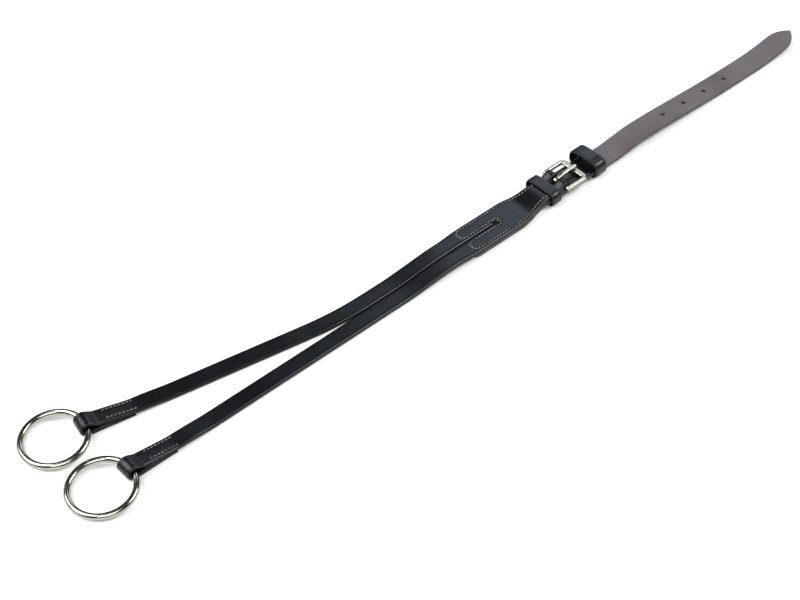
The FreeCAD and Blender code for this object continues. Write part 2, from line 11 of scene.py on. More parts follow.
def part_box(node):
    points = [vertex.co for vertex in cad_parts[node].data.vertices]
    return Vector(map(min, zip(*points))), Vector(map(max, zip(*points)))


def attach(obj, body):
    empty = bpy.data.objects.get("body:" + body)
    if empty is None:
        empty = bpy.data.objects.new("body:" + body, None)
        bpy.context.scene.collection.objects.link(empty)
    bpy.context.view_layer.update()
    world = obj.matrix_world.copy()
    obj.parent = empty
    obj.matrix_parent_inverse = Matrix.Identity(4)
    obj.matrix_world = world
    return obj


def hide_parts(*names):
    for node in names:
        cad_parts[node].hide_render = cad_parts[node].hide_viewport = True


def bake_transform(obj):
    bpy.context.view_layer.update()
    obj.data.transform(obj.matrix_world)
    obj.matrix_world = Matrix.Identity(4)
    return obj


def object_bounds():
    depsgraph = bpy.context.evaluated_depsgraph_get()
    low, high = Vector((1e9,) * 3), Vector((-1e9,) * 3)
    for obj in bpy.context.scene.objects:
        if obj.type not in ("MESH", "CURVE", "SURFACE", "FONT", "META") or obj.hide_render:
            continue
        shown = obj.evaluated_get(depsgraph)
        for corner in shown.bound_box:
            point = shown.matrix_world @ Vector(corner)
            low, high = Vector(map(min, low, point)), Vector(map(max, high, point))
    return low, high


bl_info = {
    "name": "Forked Leather Martingale",
    "version": (1, 0, 0),
    "blender": (4, 5, 0),
    "location": "View3D > Sidebar > Martingale",
    "description": "Builds the leather, stitching, buckle and rings of a forked martingale strap",
    "category": "Object",
}

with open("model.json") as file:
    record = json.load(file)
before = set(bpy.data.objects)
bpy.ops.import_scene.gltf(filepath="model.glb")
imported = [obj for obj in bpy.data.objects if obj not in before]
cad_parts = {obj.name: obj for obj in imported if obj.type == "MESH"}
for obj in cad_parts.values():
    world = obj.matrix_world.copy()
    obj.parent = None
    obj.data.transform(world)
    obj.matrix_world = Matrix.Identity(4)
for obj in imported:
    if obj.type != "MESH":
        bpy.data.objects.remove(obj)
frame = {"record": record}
CAD_BOX = [list(corner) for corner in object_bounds()]
JOINTS = {joint["name"]: joint for joint in frame["record"]["behaviour"]["joints"]}
MOUNTS = {mount["name"]: mount for mount in frame["record"]["mounts"]}
MM = 0.001

BAR = Vector(JOINTS["buckle_swing"]["pos_m"])
BILLET_BEND = Vector(JOINTS["billet_bend"]["pos_m"])
BRANCH_BEND = Vector(JOINTS["left_branch_bend"]["pos_m"])


# ------------------------------------------------------------------ sizes and finishes

def length(name, description, default):
    """A size that a user can change in the panel; its default is given in millimetres."""
    return FloatProperty(name=name, description=description, default=default * MM,
                         unit="LENGTH", precision=5)


def colour(name, description, default):
    return FloatVectorProperty(name=name, description=description, default=default,
                               subtype="COLOR", size=3, min=0, max=1)


def share(name, description, default):
    return FloatProperty(name=name, description=description, default=default,
                         subtype="FACTOR", min=0, max=1)


class StrapSizes(bpy.types.PropertyGroup):
    """Sizes of the leather."""
    top_thick: length("Top leather", "Thickness of the fork and the branches", 3.2)
    lining_thick: length("Lower leather", "Thickness of the lining and the billet", 3.0)
    fold_thick: length("Chape leather", "Top leather where it folds round the bar", 2.4)
    loop_thick: length("Loop leather", "Top leather where it folds round a ring", 2.5)
    skived: length("Skived end", "Thickness of a turned-back end", 0.8)
    turn_end: length("Turn-back end", "Thickness of a branch's turned-back end", 1.7)
    turn_fill: length("Turn-back fill", "Turned-back leather and its filling at the ring", 4.4)
    loop_lift: length("Loop lift", "Rise of the branch over its turned-back leather", 3.8)
    loop_neck: length("Loop neck", "Ring to where the rise becomes steep", 7.5)
    loop_slope: FloatProperty(name="Loop slope", description="Degrees of the rise to the ring",
                              default=28)
    branch_width: length("Branch width", "Width of each branch", 12.3)
    slit: length("Slit", "Gap between the branches", 0.6)
    keyhole: length("Keyhole", "Diameter of the hole that ends the slit", 3.8)
    keyhole_x: length("Keyhole place", "Centre of the keyhole along the strap", -15)
    waist_start: length("Waist start", "Where the fork begins to narrow", -2)
    waist_end: length("Waist end", "Where the fork has the chape's width", 25)
    lift_start: length("Lift start", "Where the straps leave the table", 8)
    lift_end: length("Lift end", "Where the straps lie on the keepers", 27)
    branch_rest: length("Branch rest", "Where the branches reach the table", -112)
    branch_root: length("Branch root", "Where the branches' own leather starts", -50)
    parting_reach: length("Parting reach", "Half the curve where the branches part", 25)
    turn_back: length("Turn-back", "Ring to the end of the turned-back leather", 33)
    chape_back: length("Chape turn-back", "End of the chape's turned-back leather", 14)
    billet_root: length("Billet root", "Where the billet's own leather starts", 91)
    crest_x: length("Crest", "Highest point of the billet behind the keeper", 130)
    crest_z: length("Crest height", "Height of the billet's underside there", 4.8)
    billet_low: length("Billet height", "Height of the billet's lowest stretch", 0.6)
    billet_rest: length("Billet rest", "Where the billet is lowest", 234)
    curl: length("Curl", "Where the billet's end begins to curl up", 258)
    point: length("Point", "Length of the billet's pointed end", 17)
    hole: length("Punched hole", "Diameter of the billet's holes", 3.4)
    hole_first: length("First hole", "Place of the first punched hole", 157.6)
    hole_pitch: length("Hole pitch", "Distance between punched holes", 23.1)
    keeper_thick: length("Keeper leather", "Thickness of the keepers", 1.8)
    edge_round: length("Edge round", "Depth of the burnished round on leather edges", 1.3)
    bevel: length("Bevel", "Height of the bevel on leather edges", 0.85)
    crease_in: length("Crease place", "Edge to the creased line", 1.75)
    crease_depth: length("Crease depth", "Depth of the creased line", 0.16)
    stitch_in: length("Stitch margin", "Edge to the row of stitches", 2.5)
    stitch_pitch: length("Stitch pitch", "Distance between awl holes", 2.9)
    thread: length("Thread", "Diameter of the thread", 0.62)


class MetalSizes(bpy.types.PropertyGroup):
    """Sizes of the buckle and the rings."""
    bar_dia: length("Bar", "Diameter of the buckle's bar", 3.2)
    bar_play: length("Play", "Play of the pieces that turn on the bar", 0.08)
    frame_side: length("Frame side", "Width of the buckle's sides", 3.2)
    frame_end: length("Frame end", "Width of the buckle's far side", 4.4)
    frame_corner: length("Frame corner", "Bend of the buckle's corners, along its middle", 2.2)
    tongue_eye: length("Tongue eye", "Metal of the tongue's eye", 1.5)
    tongue_thick: length("Tongue", "Height of the tongue's shank", 2.4)
    tongue_rise: length("Tongue rise", "Bar to where the shank lies level", 11)
    tongue_short: length("Tongue short", "Tongue's tip before the end of its room", 2)
    ring_wire: length("Ring wire", "Diameter of the rings' wire", 4.5)


class Finishes(bpy.types.PropertyGroup):
    """Colours and gloss."""
    grain: colour("Grain side", "Black dyed grain side", (0.0022, 0.0026, 0.0032))
    grain_worn: colour("Grain sheen", "Greyer tone of the grain side", (0.0046, 0.0054, 0.007))
    flesh: colour("Flesh side", "Grey-brown flesh side", (0.107, 0.095, 0.102))
    flesh_dark: colour("Flesh side, dark", "Darker fibres of the flesh side", (0.07, 0.062, 0.066))
    # also used on the undersides of the branches and keepers, where this black is partly painted
    # shade
    edge: colour("Edge paint", "Burnished edges", (0.0035, 0.0035, 0.004))
    grey_edge: colour("Billet edge", "Half dyed edge of the billet", (0.1, 0.1, 0.104))
    cut_edge: colour("Cut edge", "Raw edge of the lining", (0.1, 0.1, 0.095))
    thread: colour("Thread", "Waxed grey thread", (0.26, 0.265, 0.275))
    nickel: colour("Nickel", "Buckle metal", (0.37, 0.345, 0.28))
    steel: colour("Steel", "Ring metal", (0.42, 0.405, 0.35))
    grain_gloss: share("Grain roughness", "Roughness of the grain side", 0.3)
    flesh_gloss: share("Flesh roughness", "Roughness of the flesh side", 0.78)
    metal_gloss: share("Metal roughness", "Roughness of the metal", 0.15)


class Studio(bpy.types.PropertyGroup):
    """Camera and light."""
    azimuth: FloatProperty(name="Azimuth", description="Direction of the camera",
                           default=math.radians(-42), subtype="ANGLE")
    elevation: FloatProperty(name="Elevation", description="Height angle of the camera",
                             default=math.radians(45.5), subtype="ANGLE")
    roll: FloatProperty(name="Roll", description="Turn of the camera about its view",
                        default=math.radians(-0.2), subtype="ANGLE")
    distance: length("Distance", "Camera to the point it looks at", 1190)
    lens: FloatProperty(name="Lens", description="Focal length in millimetres", default=80)
    ambient: FloatProperty(name="Ambient", description="Strength of the world", default=0.05)
    key: FloatProperty(name="Key", description="Watts of the key softbox", default=58)
    near: FloatProperty(name="Near", description="Watts of the near softbox", default=24)
    fill: FloatProperty(name="Fill", description="Watts of the right softbox", default=30)
    rim: FloatProperty(name="Rim", description="Watts of the far softbox", default=4.6)
    aim_x: length("Aim along", "Point that the camera looks at, along the strap", -110.8)
    aim_y: length("Aim across", "Point that the camera looks at, across the strap", -6.9)


# ------------------------------------------------------------------ shader arithmetic

class Wire:
    """A shader socket that takes part in arithmetic and adds its Math nodes."""

    def __init__(self, finish, socket):
        self.finish = finish
        self.socket = socket

    def math(self, operation, *values):
        inputs = dict(enumerate((self, *values)))
        return self.finish.node("ShaderNodeMath", {"operation": operation}, inputs)

    def __add__(self, other):
        return self.math("ADD", other)

    def __sub__(self, other):
        return self.math("SUBTRACT", other)

    def __rsub__(self, other):
        return self.finish.node("ShaderNodeMath", {"operation": "SUBTRACT"}, {0: other, 1: self})

    def __mul__(self, other):
        return self.math("MULTIPLY", other)

    __radd__ = __add__
    __rmul__ = __mul__

    def clamped(self, low, high):
        """This value as 0 at low, 1 at high and smooth between them."""
        settings = {"interpolation_type": "SMOOTHSTEP"}
        inputs = {"Value": self, "From Min": low, "From Max": high}
        return self.finish.node("ShaderNodeMapRange", settings, inputs)


class Finish:
    """A material, with one method for every node it needs."""

    def __init__(self, name, **constants):
        self.material = bpy.data.materials.new(name)
        self.material.use_nodes = True
        self.tree = self.material.node_tree
        self.surface = self.tree.nodes["Principled BSDF"]
        self.place = self.node("ShaderNodeTexCoord", output="Object")
        for socket, value in constants.items():
            self.surface.inputs[socket.replace("_", " ")].default_value = value

    def node(self, kind, settings=None, inputs=None, output=0):
        """A node with its settings first, then the values or links of its inputs."""
        made = self.tree.nodes.new(kind)
        for name, value in (settings or {}).items():
            setattr(made, name, value)
        for name, value in (inputs or {}).items():
            if isinstance(value, Wire):
                self.tree.links.new(value.socket, made.inputs[name])
            else:
                made.inputs[name].default_value = value
        return Wire(self, made.outputs[output])

    def stretched(self, x, y, z):
        """The object's own coordinates, scaled along each axis."""
        return self.node("ShaderNodeVectorMath", {"operation": "MULTIPLY"},
                         {0: self.place, 1: (x, y, z)})

    def noise(self, scale, detail=3.0, where=None, roughness=0.5):
        return self.node("ShaderNodeTexNoise", None, {
            "Vector": where or self.place, "Scale": scale, "Detail": detail,
            "Roughness": roughness})

    def cells(self, scale, feature="F1"):
        return self.node("ShaderNodeTexVoronoi", {"feature": feature},
                         {"Vector": self.place, "Scale": scale}, "Distance")

    def mix(self, factor, a, b):
        """Colour a where factor is 0 and b where it is 1."""
        made = self.tree.nodes.new("ShaderNodeMix")
        made.data_type = "RGBA"
        self.tree.links.new(factor.socket, made.inputs["Factor"])
        for name, value in (("A", a), ("B", b)):
            socket = next(s for s in made.inputs if s.name == name and s.type == "RGBA")
            if isinstance(value, Wire):
                self.tree.links.new(value.socket, socket)
            else:
                socket.default_value = (*value, 1)
        return Wire(self, next(s for s in made.outputs if s.type == "RGBA"))

    def feed(self, **sockets):
        """Link what varies over the surface to the shader's sockets."""
        for name, wire in sockets.items():
            self.tree.links.new(wire.socket, self.surface.inputs[name.replace("_", " ")])
        return self.material

    def bump(self, height, distance, strength=1.0, below=None):
        inputs = {"Height": height, "Distance": distance, "Strength": strength}
        if below:
            inputs["Normal"] = below
        return self.node("ShaderNodeBump", None, inputs, "Normal")


def grain_finish(look):
    """Black grain side: fine pores, soft creases, greyer where handled."""
    f = Finish("black_grain", Coat_Weight=0.08, Coat_Roughness=0.22, Specular_IOR_Level=0.32)
    pores = f.cells(2600)
    pebble = f.noise(900, 4)
    cloud = f.noise(34, 3)
    drag = f.noise(30, 4, f.stretched(0.35, 2.2, 2.2))
    tone = f.mix(cloud.clamped(0.38, 0.66), tuple(look.grain), tuple(look.grain_worn))
    height = pores.clamped(0.0, 0.55) * 0.5 + pebble * 0.5
    drawn = f.bump(drag, distance=0.35 * MM, strength=0.35)
    normal = f.bump(height, distance=0.05 * MM, strength=0.55, below=drawn)
    rough = look.grain_gloss + (cloud - 0.5) * 0.16 + (pebble - 0.5) * 0.1
    return f.feed(Base_Color=tone, Roughness=rough, Normal=normal)


def flesh_finish(look):
    """Grey-brown flesh side: matt, short fibres, a few darker rubs."""
    f = Finish("flesh_side", Specular_IOR_Level=0.35, Sheen_Weight=0.12, Sheen_Roughness=0.5)
    fibre = f.noise(1500, 5, f.stretched(0.5, 1, 1), 0.65)
    cloud = f.noise(26, 4)
    streak = f.noise(60, 3, f.stretched(0.25, 1.6, 1.6))
    tone = f.mix(cloud.clamped(0.34, 0.7), tuple(look.flesh), tuple(look.flesh_dark))
    tone = f.mix(fibre.clamped(0.5, 0.78) * 0.45, tone, tuple(look.flesh_dark))
    normal = f.bump(fibre + streak * 0.5, distance=0.1 * MM, strength=0.6)
    return f.feed(Base_Color=tone, Roughness=look.flesh_gloss + (fibre - 0.5) * 0.2,
                  Normal=normal)


def edge_finish(name, tone, rough):
    """A leather edge: packed fibres along the strap."""
    f = Finish(name, Specular_IOR_Level=0.25)
    layers = f.noise(700, 4, f.stretched(0.2, 1, 3))
    patch = f.noise(90, 3)
    shade = f.mix(layers.clamped(0.35, 0.7), tone, tuple(0.45 * c for c in tone))
    return f.feed(Base_Color=shade, Roughness=rough + (patch - 0.5) * 0.2,
                  Normal=f.bump(layers, distance=0.12 * MM, strength=0.5))


def thread_finish(look):
    """Waxed thread, twisted."""
    f = Finish("waxed_thread", Specular_IOR_Level=0.4)
    twist = f.node("ShaderNodeTexWave", {"bands_direction": "DIAGONAL"},
                   {"Vector": f.place, "Scale": 900.0, "Distortion": 1.5}, "Fac")
    fray = f.noise(2400, 3)
    dirt = f.noise(140, 3)
    tone = f.mix(dirt.clamped(0.42, 0.72), tuple(look.thread),
                 tuple(0.4 * c for c in look.thread))
    return f.feed(Base_Color=tone, Roughness=0.55 + fray * 0.2,
                  Normal=f.bump(twist + fray * 0.4, distance=0.08 * MM, strength=0.7))


def metal_finish(look, name, tone):
    """Polished metal: faint brushing, small scratches and dull spots."""
    f = Finish(name, Metallic=1.0, Specular_IOR_Level=0.5)
    brushed = f.noise(500, 3, f.stretched(1, 1, 6))
    spots = f.noise(220, 4)
    scratch = f.cells(420, "DISTANCE_TO_EDGE")
    lines = 1 - scratch.clamped(0.0, 0.018)
    shade = f.mix(spots.clamped(0.5, 0.8), tone, tuple(0.86 * c for c in tone))
    rough = look.metal_gloss + spots.clamped(0.45, 0.8) * 0.1 + lines * 0.06
    normal = f.bump(brushed + lines * 0.25, distance=0.02 * MM, strength=0.12)
    return f.feed(Base_Color=shade, Roughness=rough, Normal=normal)


def hole_shade_finish():
    """Painted shade for an awl hole: a matt near-black patch where the hole's recess lies in
    shade.
    """
    f = Finish("awl_hole", Roughness=0.9, Specular_IOR_Level=0.1)
    speck = f.noise(900)
    return f.feed(Base_Color=f.mix(speck, (0.002, 0.002, 0.002), (0.006, 0.006, 0.006)))


MATERIALS = {}


def finish(name):
    """A material by name, made when it is first asked for."""
    look = bpy.context.scene.martingale_finishes
    makers = {
        "black_grain": lambda: grain_finish(look),
        "flesh_side": lambda: flesh_finish(look),
        "edge_paint": lambda: edge_finish("edge_paint", tuple(look.edge), 0.4),
        "grey_edge": lambda: edge_finish("grey_edge", tuple(look.grey_edge), 0.6),
        "cut_edge": lambda: edge_finish("cut_edge", tuple(look.cut_edge), 0.7),
        "waxed_thread": lambda: thread_finish(look),
        "awl_hole": hole_shade_finish,
        "nickel": lambda: metal_finish(look, "nickel", tuple(look.nickel)),
        "steel": lambda: metal_finish(look, "steel", tuple(look.steel)),
    }
    if name not in MATERIALS:
        MATERIALS[name] = makers[name]()
    return MATERIALS[name]


# ------------------------------------------------------------------ paths

def smooth_step(x, start, end):
    """0 before start, 1 after end, with level ends; start may lie after end."""
    t = np.clip((np.asarray(x, float) - start) / (end - start), 0, 1)
    return t * t * (3 - 2 * t)


ARC_STEP = 0.35 * MM


def circle_points(centre, radius, start, end):
    """Points on a circle in a side drawing, from angle start to angle end in degrees."""
    count = max(6, int(abs(math.radians(end - start)) * radius / ARC_STEP))
    turn = np.radians(np.linspace(start, end, count))
    return np.stack([centre[0] + radius * np.cos(turn), centre[1] + radius * np.sin(turn)], 1)


def resampled(rows, step, soften):
    """Rows of a path at even distances, with its corners softened."""
    rows = np.asarray(rows, float)
    keep = np.r_[True, np.linalg.norm(np.diff(rows[:, :2], axis=0), axis=1) > 1e-7]
    rows = rows[keep]
    along = np.r_[0, np.cumsum(np.linalg.norm(np.diff(rows[:, :2], axis=0), axis=1))]
    at = np.linspace(0, along[-1], int(along[-1] / step) + 2)
    rows = np.stack([np.interp(at, along, column) for column in rows.T], 1)
    for _ in range(soften):
        rows[1:-1] = (rows[:-2] + 2 * rows[1:-1] + rows[2:]) / 4
    return rows


def upright(rows):
    """Points of a side drawing, set up in the plane Y = 0."""
    return np.stack([rows[:, 0], np.zeros(len(rows)), rows[:, 1]], 1)


class Run:
    """The middle line of a strip: its points, its sideways and upward directions."""

    def __init__(self, points, sides, thick):
        self.points = np.asarray(points, float)
        steps = np.linalg.norm(np.diff(self.points, axis=0), axis=1)
        self.at = np.r_[0, np.cumsum(steps)]
        self.end = self.at[-1]
        forward = np.gradient(self.points, self.at, axis=0)
        forward /= np.linalg.norm(forward, axis=1)[:, None]
        self.sides = np.broadcast_to(np.asarray(sides, float), self.points.shape)
        self.ups = np.cross(forward, self.sides)
        self.thicks = np.broadcast_to(np.asarray(thick, float), self.at.shape)

    def read(self, s, table):
        return np.stack([np.interp(s, self.at, column) for column in table.T], -1)

    def thick(self, s):
        return np.interp(s, self.at, self.thicks)

    def x(self, s):
        return float(np.interp(s, self.at, self.points[:, 0]))

    def place(self, s, n, z):
        """Points from distance along the line, sideways from it and up from it."""
        s = np.asarray(s, float)
        n, z = np.broadcast_to(n, s.shape)[..., None], np.broadcast_to(z, s.shape)[..., None]
        side, up = self.read(s, self.sides), self.read(s, self.ups)
        return self.read(s, self.points) + side * n + up * z

    def where(self, x):
        """Distance along at which the strip first reaches x."""
        column = self.points[:, 0]
        way = math.copysign(1, column[len(column) // 3] - column[0])
        last = int(np.argmax(way * column)) + 1
        return float(np.interp(way * x, way * column[:last], self.at[:last]))


LEAST_STEP = 0.02 * MM
HOLE_ROWS = np.array([0.06, 0.16, 0.3, 0.5, 0.75, 1.0, 1.3]) * MM


def stations(start, end, step, *extra):
    """Sorted places along a strip: even steps, and closer ones where something is cut."""
    even = np.linspace(start, end, max(2, int(round((end - start) / step)) + 1))
    every = np.sort(np.concatenate([even, *extra]))
    every = every[(every >= start - 1e-9) & (every <= end + 1e-9)]
    keep = np.r_[True, np.diff(every) > LEAST_STEP]
    every = every[keep]
    every[-1] = end
    return every


def round_stations(centre, radius):
    """Places that give a hole or a round end its shape."""
    inside = centre + radius * np.cos(np.linspace(0, math.pi, 21))
    beyond = radius + HOLE_ROWS
    return np.concatenate([inside, centre + beyond, centre - beyond])


# ------------------------------------------------------------------ meshes

EDGE_ROWS = np.array([0, 0.04, 0.12, 0.25, 0.42, 0.62, 0.85, 1.05, 1.2, 1.35, 1.5, 1.65,
                      1.85, 2.1, 2.3, 2.5, 2.7, 3.0]) * MM
PLAIN_ROWS = np.array([0, 0.04, 0.12, 0.25, 0.42, 0.62, 0.85, 1.2]) * MM
EDGE_POWER = 1.6
EDGE_PAINT = 0.2 * MM
WALL_IN = 0.1 * MM
BEVEL_LIMIT = 0.7
SHARP = math.radians(65)
WELD = 0.002 * MM
TINY = 0.001 * MM
CREASE_WIDTH = 0.24 * MM
GROOVE_WIDTH = 0.38 * MM
GROOVE_DEPTH = 0.16 * MM


def add_object(name, mesh, body, slot, *nodes):
    """Put a finished mesh in the scene, hang it on the empty of its body and hide the CAD parts it
    stands for; the slot argument is not used.
    """
    piece = bpy.data.objects.new(name, mesh)
    bpy.context.scene.collection.objects.link(piece)
    if body:
        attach(piece, body)
    if nodes:
        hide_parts(*nodes)
    return piece


def build_mesh(name, points, faces, marks, finishes):
    """A closed smooth mesh; marks gives each face its material."""
    mesh = bpy.data.meshes.new(name)
    mesh.from_pydata([tuple(p) for p in points], [], faces)
    for material in finishes:
        mesh.materials.append(finish(material))
    mesh.polygons.foreach_set("material_index", marks)
    grid = bmesh.new()
    grid.from_mesh(mesh)
    bmesh.ops.remove_doubles(grid, verts=grid.verts, dist=WELD)
    bmesh.ops.dissolve_degenerate(grid, edges=grid.edges, dist=TINY)
    bmesh.ops.recalc_face_normals(grid, faces=grid.faces)
    for one in grid.faces:
        one.smooth = True
    for edge in grid.edges:
        edge.smooth = len(edge.link_faces) == 2 and edge.calc_face_angle() < SHARP
    grid.to_mesh(mesh)
    grid.free()
    mesh.validate()
    return mesh


def edge_distance(flat, segments):
    """Shortest way from each flat point to the cut outline."""
    a, run = segments[:, 0], segments[:, 1] - segments[:, 0]
    square = np.maximum((run ** 2).sum(1), 1e-18)
    best = []
    for part in np.array_split(flat, max(1, len(flat) // 1500)):
        gap = part[:, None] - a[None]
        t = np.clip((gap * run).sum(2) / square, 0, 1)
        best.append(np.sqrt(((gap - t[..., None] * run) ** 2).sum(2)).min(1))
    return np.concatenate(best)


def lanes(left, right, rows, middle):
    """Places across a band: close rows beside both edges, and a few between."""
    half = (left - right) / 2
    inset = rows * min(1.0, 0.94 * half / rows[-1])
    a, b = left - inset, right + inset[::-1]
    return np.concatenate([a, np.linspace(a[-1], b[0], middle + 2)[1:-1], b])


def leather(name, run, at, bands, finishes, sizes, rows=EDGE_ROWS, middle=4,
            cut=(False, False), groove=None, crease=1.0):
    """A strip of leather: two skins over one grid, joined by round edges."""
    grid_n, breaks = [], []
    for s in at:
        row = [lanes(left, right, rows, middle) for left, right in bands(s)]
        breaks = np.cumsum([len(band) for band in row])
        grid_n.append(np.concatenate(row))
    grid_n = np.array(grid_n)
    grid_s = np.broadcast_to(at[:, None], grid_n.shape)
    flat = np.stack([grid_s, grid_n], -1)
    columns = grid_n.shape[1]

    segments = []
    starts = [0, *breaks[:-1]]
    for k, (first, last) in enumerate(zip(starts, breaks)):
        for column, twin in ((first, first - 1 if k else None),
                             (last - 1, last if last < columns else None)):
            edge = flat[:, column]
            pairs = np.stack([edge[:-1], edge[1:]], 1)
            if twin is not None:
                open_gap = np.abs(grid_n[:, column] - grid_n[:, twin]) > 1e-7
                pairs = pairs[open_gap[:-1] | open_gap[1:]]
            segments.append(pairs)
        for is_cut, row in zip(cut, (0, -1)):
            if is_cut:
                edge = flat[row, first:last]
                segments.append(np.stack([edge[:-1], edge[1:]], 1))
    away = edge_distance(flat.reshape(-1, 2), np.concatenate(segments)).reshape(grid_n.shape)

    half = run.thick(grid_s) / 2
    bevel = np.minimum(sizes.bevel, BEVEL_LIMIT * half)
    wall = np.sqrt(1 - (1 - np.clip(away / WALL_IN, 0, 1)) ** 2)
    near = np.clip(away / sizes.edge_round, 0, 1)
    full = (half - bevel) * wall + bevel * (1 - (1 - near) ** EDGE_POWER) ** (1 / EDGE_POWER)
    top = full.copy()
    if crease:
        spread = CREASE_WIDTH * math.sqrt(crease)
        pressed = np.exp(-((away - sizes.crease_in) / spread) ** 2)
        top -= crease * sizes.crease_depth * pressed
    if groove:
        sunk = np.exp(-((away - sizes.stitch_in) / GROOVE_WIDTH) ** 2)
        top -= GROOVE_DEPTH * sunk * groove(grid_s)
    skins = [run.place(grid_s, grid_n, top), run.place(grid_s, grid_n, -full)]
    points = np.concatenate([skin.reshape(-1, 3) for skin in skins])

    faces, marks = [], []
    size = grid_n.size
    for i in range(len(at) - 1):
        for j in range(columns - 1):
            if j + 1 in breaks:
                continue
            corner = i * columns + j
            quad = (corner, corner + 1, corner + columns + 1, corner + columns)
            is_edge = away[i:i + 2, j:j + 2].mean() < EDGE_PAINT
            for skin in (0, 1):
                faces.append(tuple(skin * size + v for v in quad))
                marks.append(2 if is_edge else skin)
    for is_cut, i in zip(cut, (0, len(at) - 1)):
        for j in range(columns - 1):
            if j + 1 not in breaks and not is_cut:
                a, b = i * columns + j, i * columns + j + 1
                faces.append((a, b, size + b, size + a))
                marks.append(2)
    return build_mesh(name, points, faces, marks, finishes)


def tube_faces(first, rings, around):
    """Faces round a tube of equal rings, numbered from its first point."""
    faces = []
    for i in range(rings - 1):
        for j in range(around):
            a, b = first + i * around + j, first + i * around + (j + 1) % around
            faces.append((a, b, b + around, a + around))
    return faces


def cap_faces(first, rings, around):
    """The flat faces at both ends of such a tube."""
    return [tuple(range(start, start + around))
            for start in (first, first + (rings - 1) * around)]


def bar(name, run, at, half_width, half_height, finishes, power=2.0, around=28, closed=False):
    """Metal swept along a line; a power over 2 makes its section squarer."""
    turn = np.linspace(0, 2 * math.pi, around, endpoint=False)
    across = np.sign(np.cos(turn)) * np.abs(np.cos(turn)) ** (2 / power)
    upward = np.sign(np.sin(turn)) * np.abs(np.sin(turn)) ** (2 / power)
    s = np.repeat(at, around)
    n = np.concatenate([half_width(v) * across for v in at])
    z = np.concatenate([half_height(v) * upward for v in at])
    points = run.place(s, n, z)
    faces = tube_faces(0, len(at), around)
    if not closed:
        faces += cap_faces(0, len(at), around)
    return build_mesh(name, points, faces, [0] * len(faces), finishes)


def fullness(from_tip, radius, least):
    """How full a bar is at a distance from its rounded tip."""
    d = np.clip(from_tip / radius, 0, 1)
    return max(least, math.sqrt(1 - (1 - d) ** 2))


# ------------------------------------------------------------------ where the leather lies

LINE_STEP = 1 * MM
CLOSE_STEP = 0.3 * MM
CHAPE_PLAY = 0.35 * MM
FORK_WIDENS = 20 * MM
CHAPE_SLOPE = 31.6
CHAPE_FOOT = 7.5 * MM
KEEPER_END = 8 * MM
CURL_POWER = 1.7
LEAST_SPLAY = 1e-4
STEP_RISE = 30 * MM
THINNING = (20 * MM, 8 * MM)
FILLING = (3 * MM, 11 * MM)


def chape_half():
    """Half the width of the chape, which has some play inside the buckle's frame."""
    return frame_inside() - CHAPE_PLAY


def fork_half(x, sizes):
    """Half the width of the fork at x."""
    low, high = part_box("fork_strap")
    widest = (high.y - low.y) / 2
    pair = sizes.branch_width + sizes.slit / 2
    half = pair + (widest - pair) * smooth_step(x, low.x, low.x + FORK_WIDENS)
    waist = smooth_step(x, sizes.waist_start, sizes.waist_end)
    return half + (chape_half() - widest) * waist


def frame_inside():
    """Half the room between the buckle's sides."""
    low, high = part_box("buckle_frame")
    return (high.y - low.y) / 2 - bpy.context.scene.martingale_metal.frame_side


def lining_low(x, sizes):
    """Height of the lower leather's underside from the fork to the front keeper."""
    return sizes.keeper_thick * smooth_step(x, sizes.lift_start, sizes.lift_end)


def fold_rows(centre, bore, thick, slope, from_x, level):
    """A strip's middle line up a slope, round a bar and down to level below it."""
    radius = bore + thick / 2
    leave = 90 + slope
    top = (centre[0] + radius * math.cos(math.radians(leave)),
           centre[1] + radius * math.sin(math.radians(leave)))
    foot_x = top[0] - (top[1] - from_x[1]) / math.tan(math.radians(slope))
    rows = [(foot_x, from_x[1], thick)]
    rows += [(x, z, thick) for x, z in circle_points(centre, radius, leave, -90)]
    rows[-1] = (centre[0], level, thick)
    return rows


def fork_run(sizes, metal):
    """Top leather from the branches' root, round the buckle's bar and back underneath."""
    x = np.arange(sizes.branch_root, BAR.x - CHAPE_FOOT, LINE_STEP)
    lift = smooth_step(x, sizes.lift_start, sizes.lift_end)
    stack = sizes.keeper_thick + sizes.lining_thick
    low = sizes.lining_thick + (stack + sizes.fold_thick - sizes.lining_thick) * lift
    thick = sizes.top_thick + (sizes.fold_thick - sizes.top_thick) * lift
    rows = list(zip(x, low + thick / 2, thick))
    bore = metal.bar_dia / 2 + metal.bar_play
    rows += fold_rows((BAR.x, BAR.z), bore, sizes.fold_thick, CHAPE_SLOPE, rows[-1],
                      stack + sizes.fold_thick / 2)
    back = np.arange(BAR.x - LINE_STEP, sizes.chape_back, -LINE_STEP)
    thin = sizes.fold_thick + (sizes.skived - sizes.fold_thick) * smooth_step(
        back, sizes.lift_end, sizes.chape_back)
    top = lining_low(back, sizes) + sizes.lining_thick
    rows += list(zip(back, top + thin / 2, thin))
    rows = resampled(rows, CLOSE_STEP, soften=6)
    return Run(upright(rows), (0, 1, 0), rows[:, 2])


def lower_run(sizes, start, end):
    """Lower leather: lining, the stretch through the keepers, and the billet."""
    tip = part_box("billet_strap")[1]
    x = np.append(np.arange(start, end, LINE_STEP), end)
    rise = smooth_step(x, BILLET_BEND.x - KEEPER_END, sizes.crest_x)
    fall = smooth_step(x, sizes.crest_x, sizes.billet_rest)
    low = lining_low(x, sizes) + (sizes.crest_z - sizes.keeper_thick) * rise
    low = low - (sizes.crest_z - sizes.billet_low) * fall
    curl = np.clip((x - sizes.curl) / (tip.x - sizes.curl), 0, 1) ** CURL_POWER
    low = low + (tip.z - sizes.lining_thick - sizes.billet_low) * curl
    rows = resampled(np.stack([x, low + sizes.lining_thick / 2], 1), LINE_STEP, soften=2)
    return Run(upright(rows), (0, 1, 0), sizes.lining_thick)


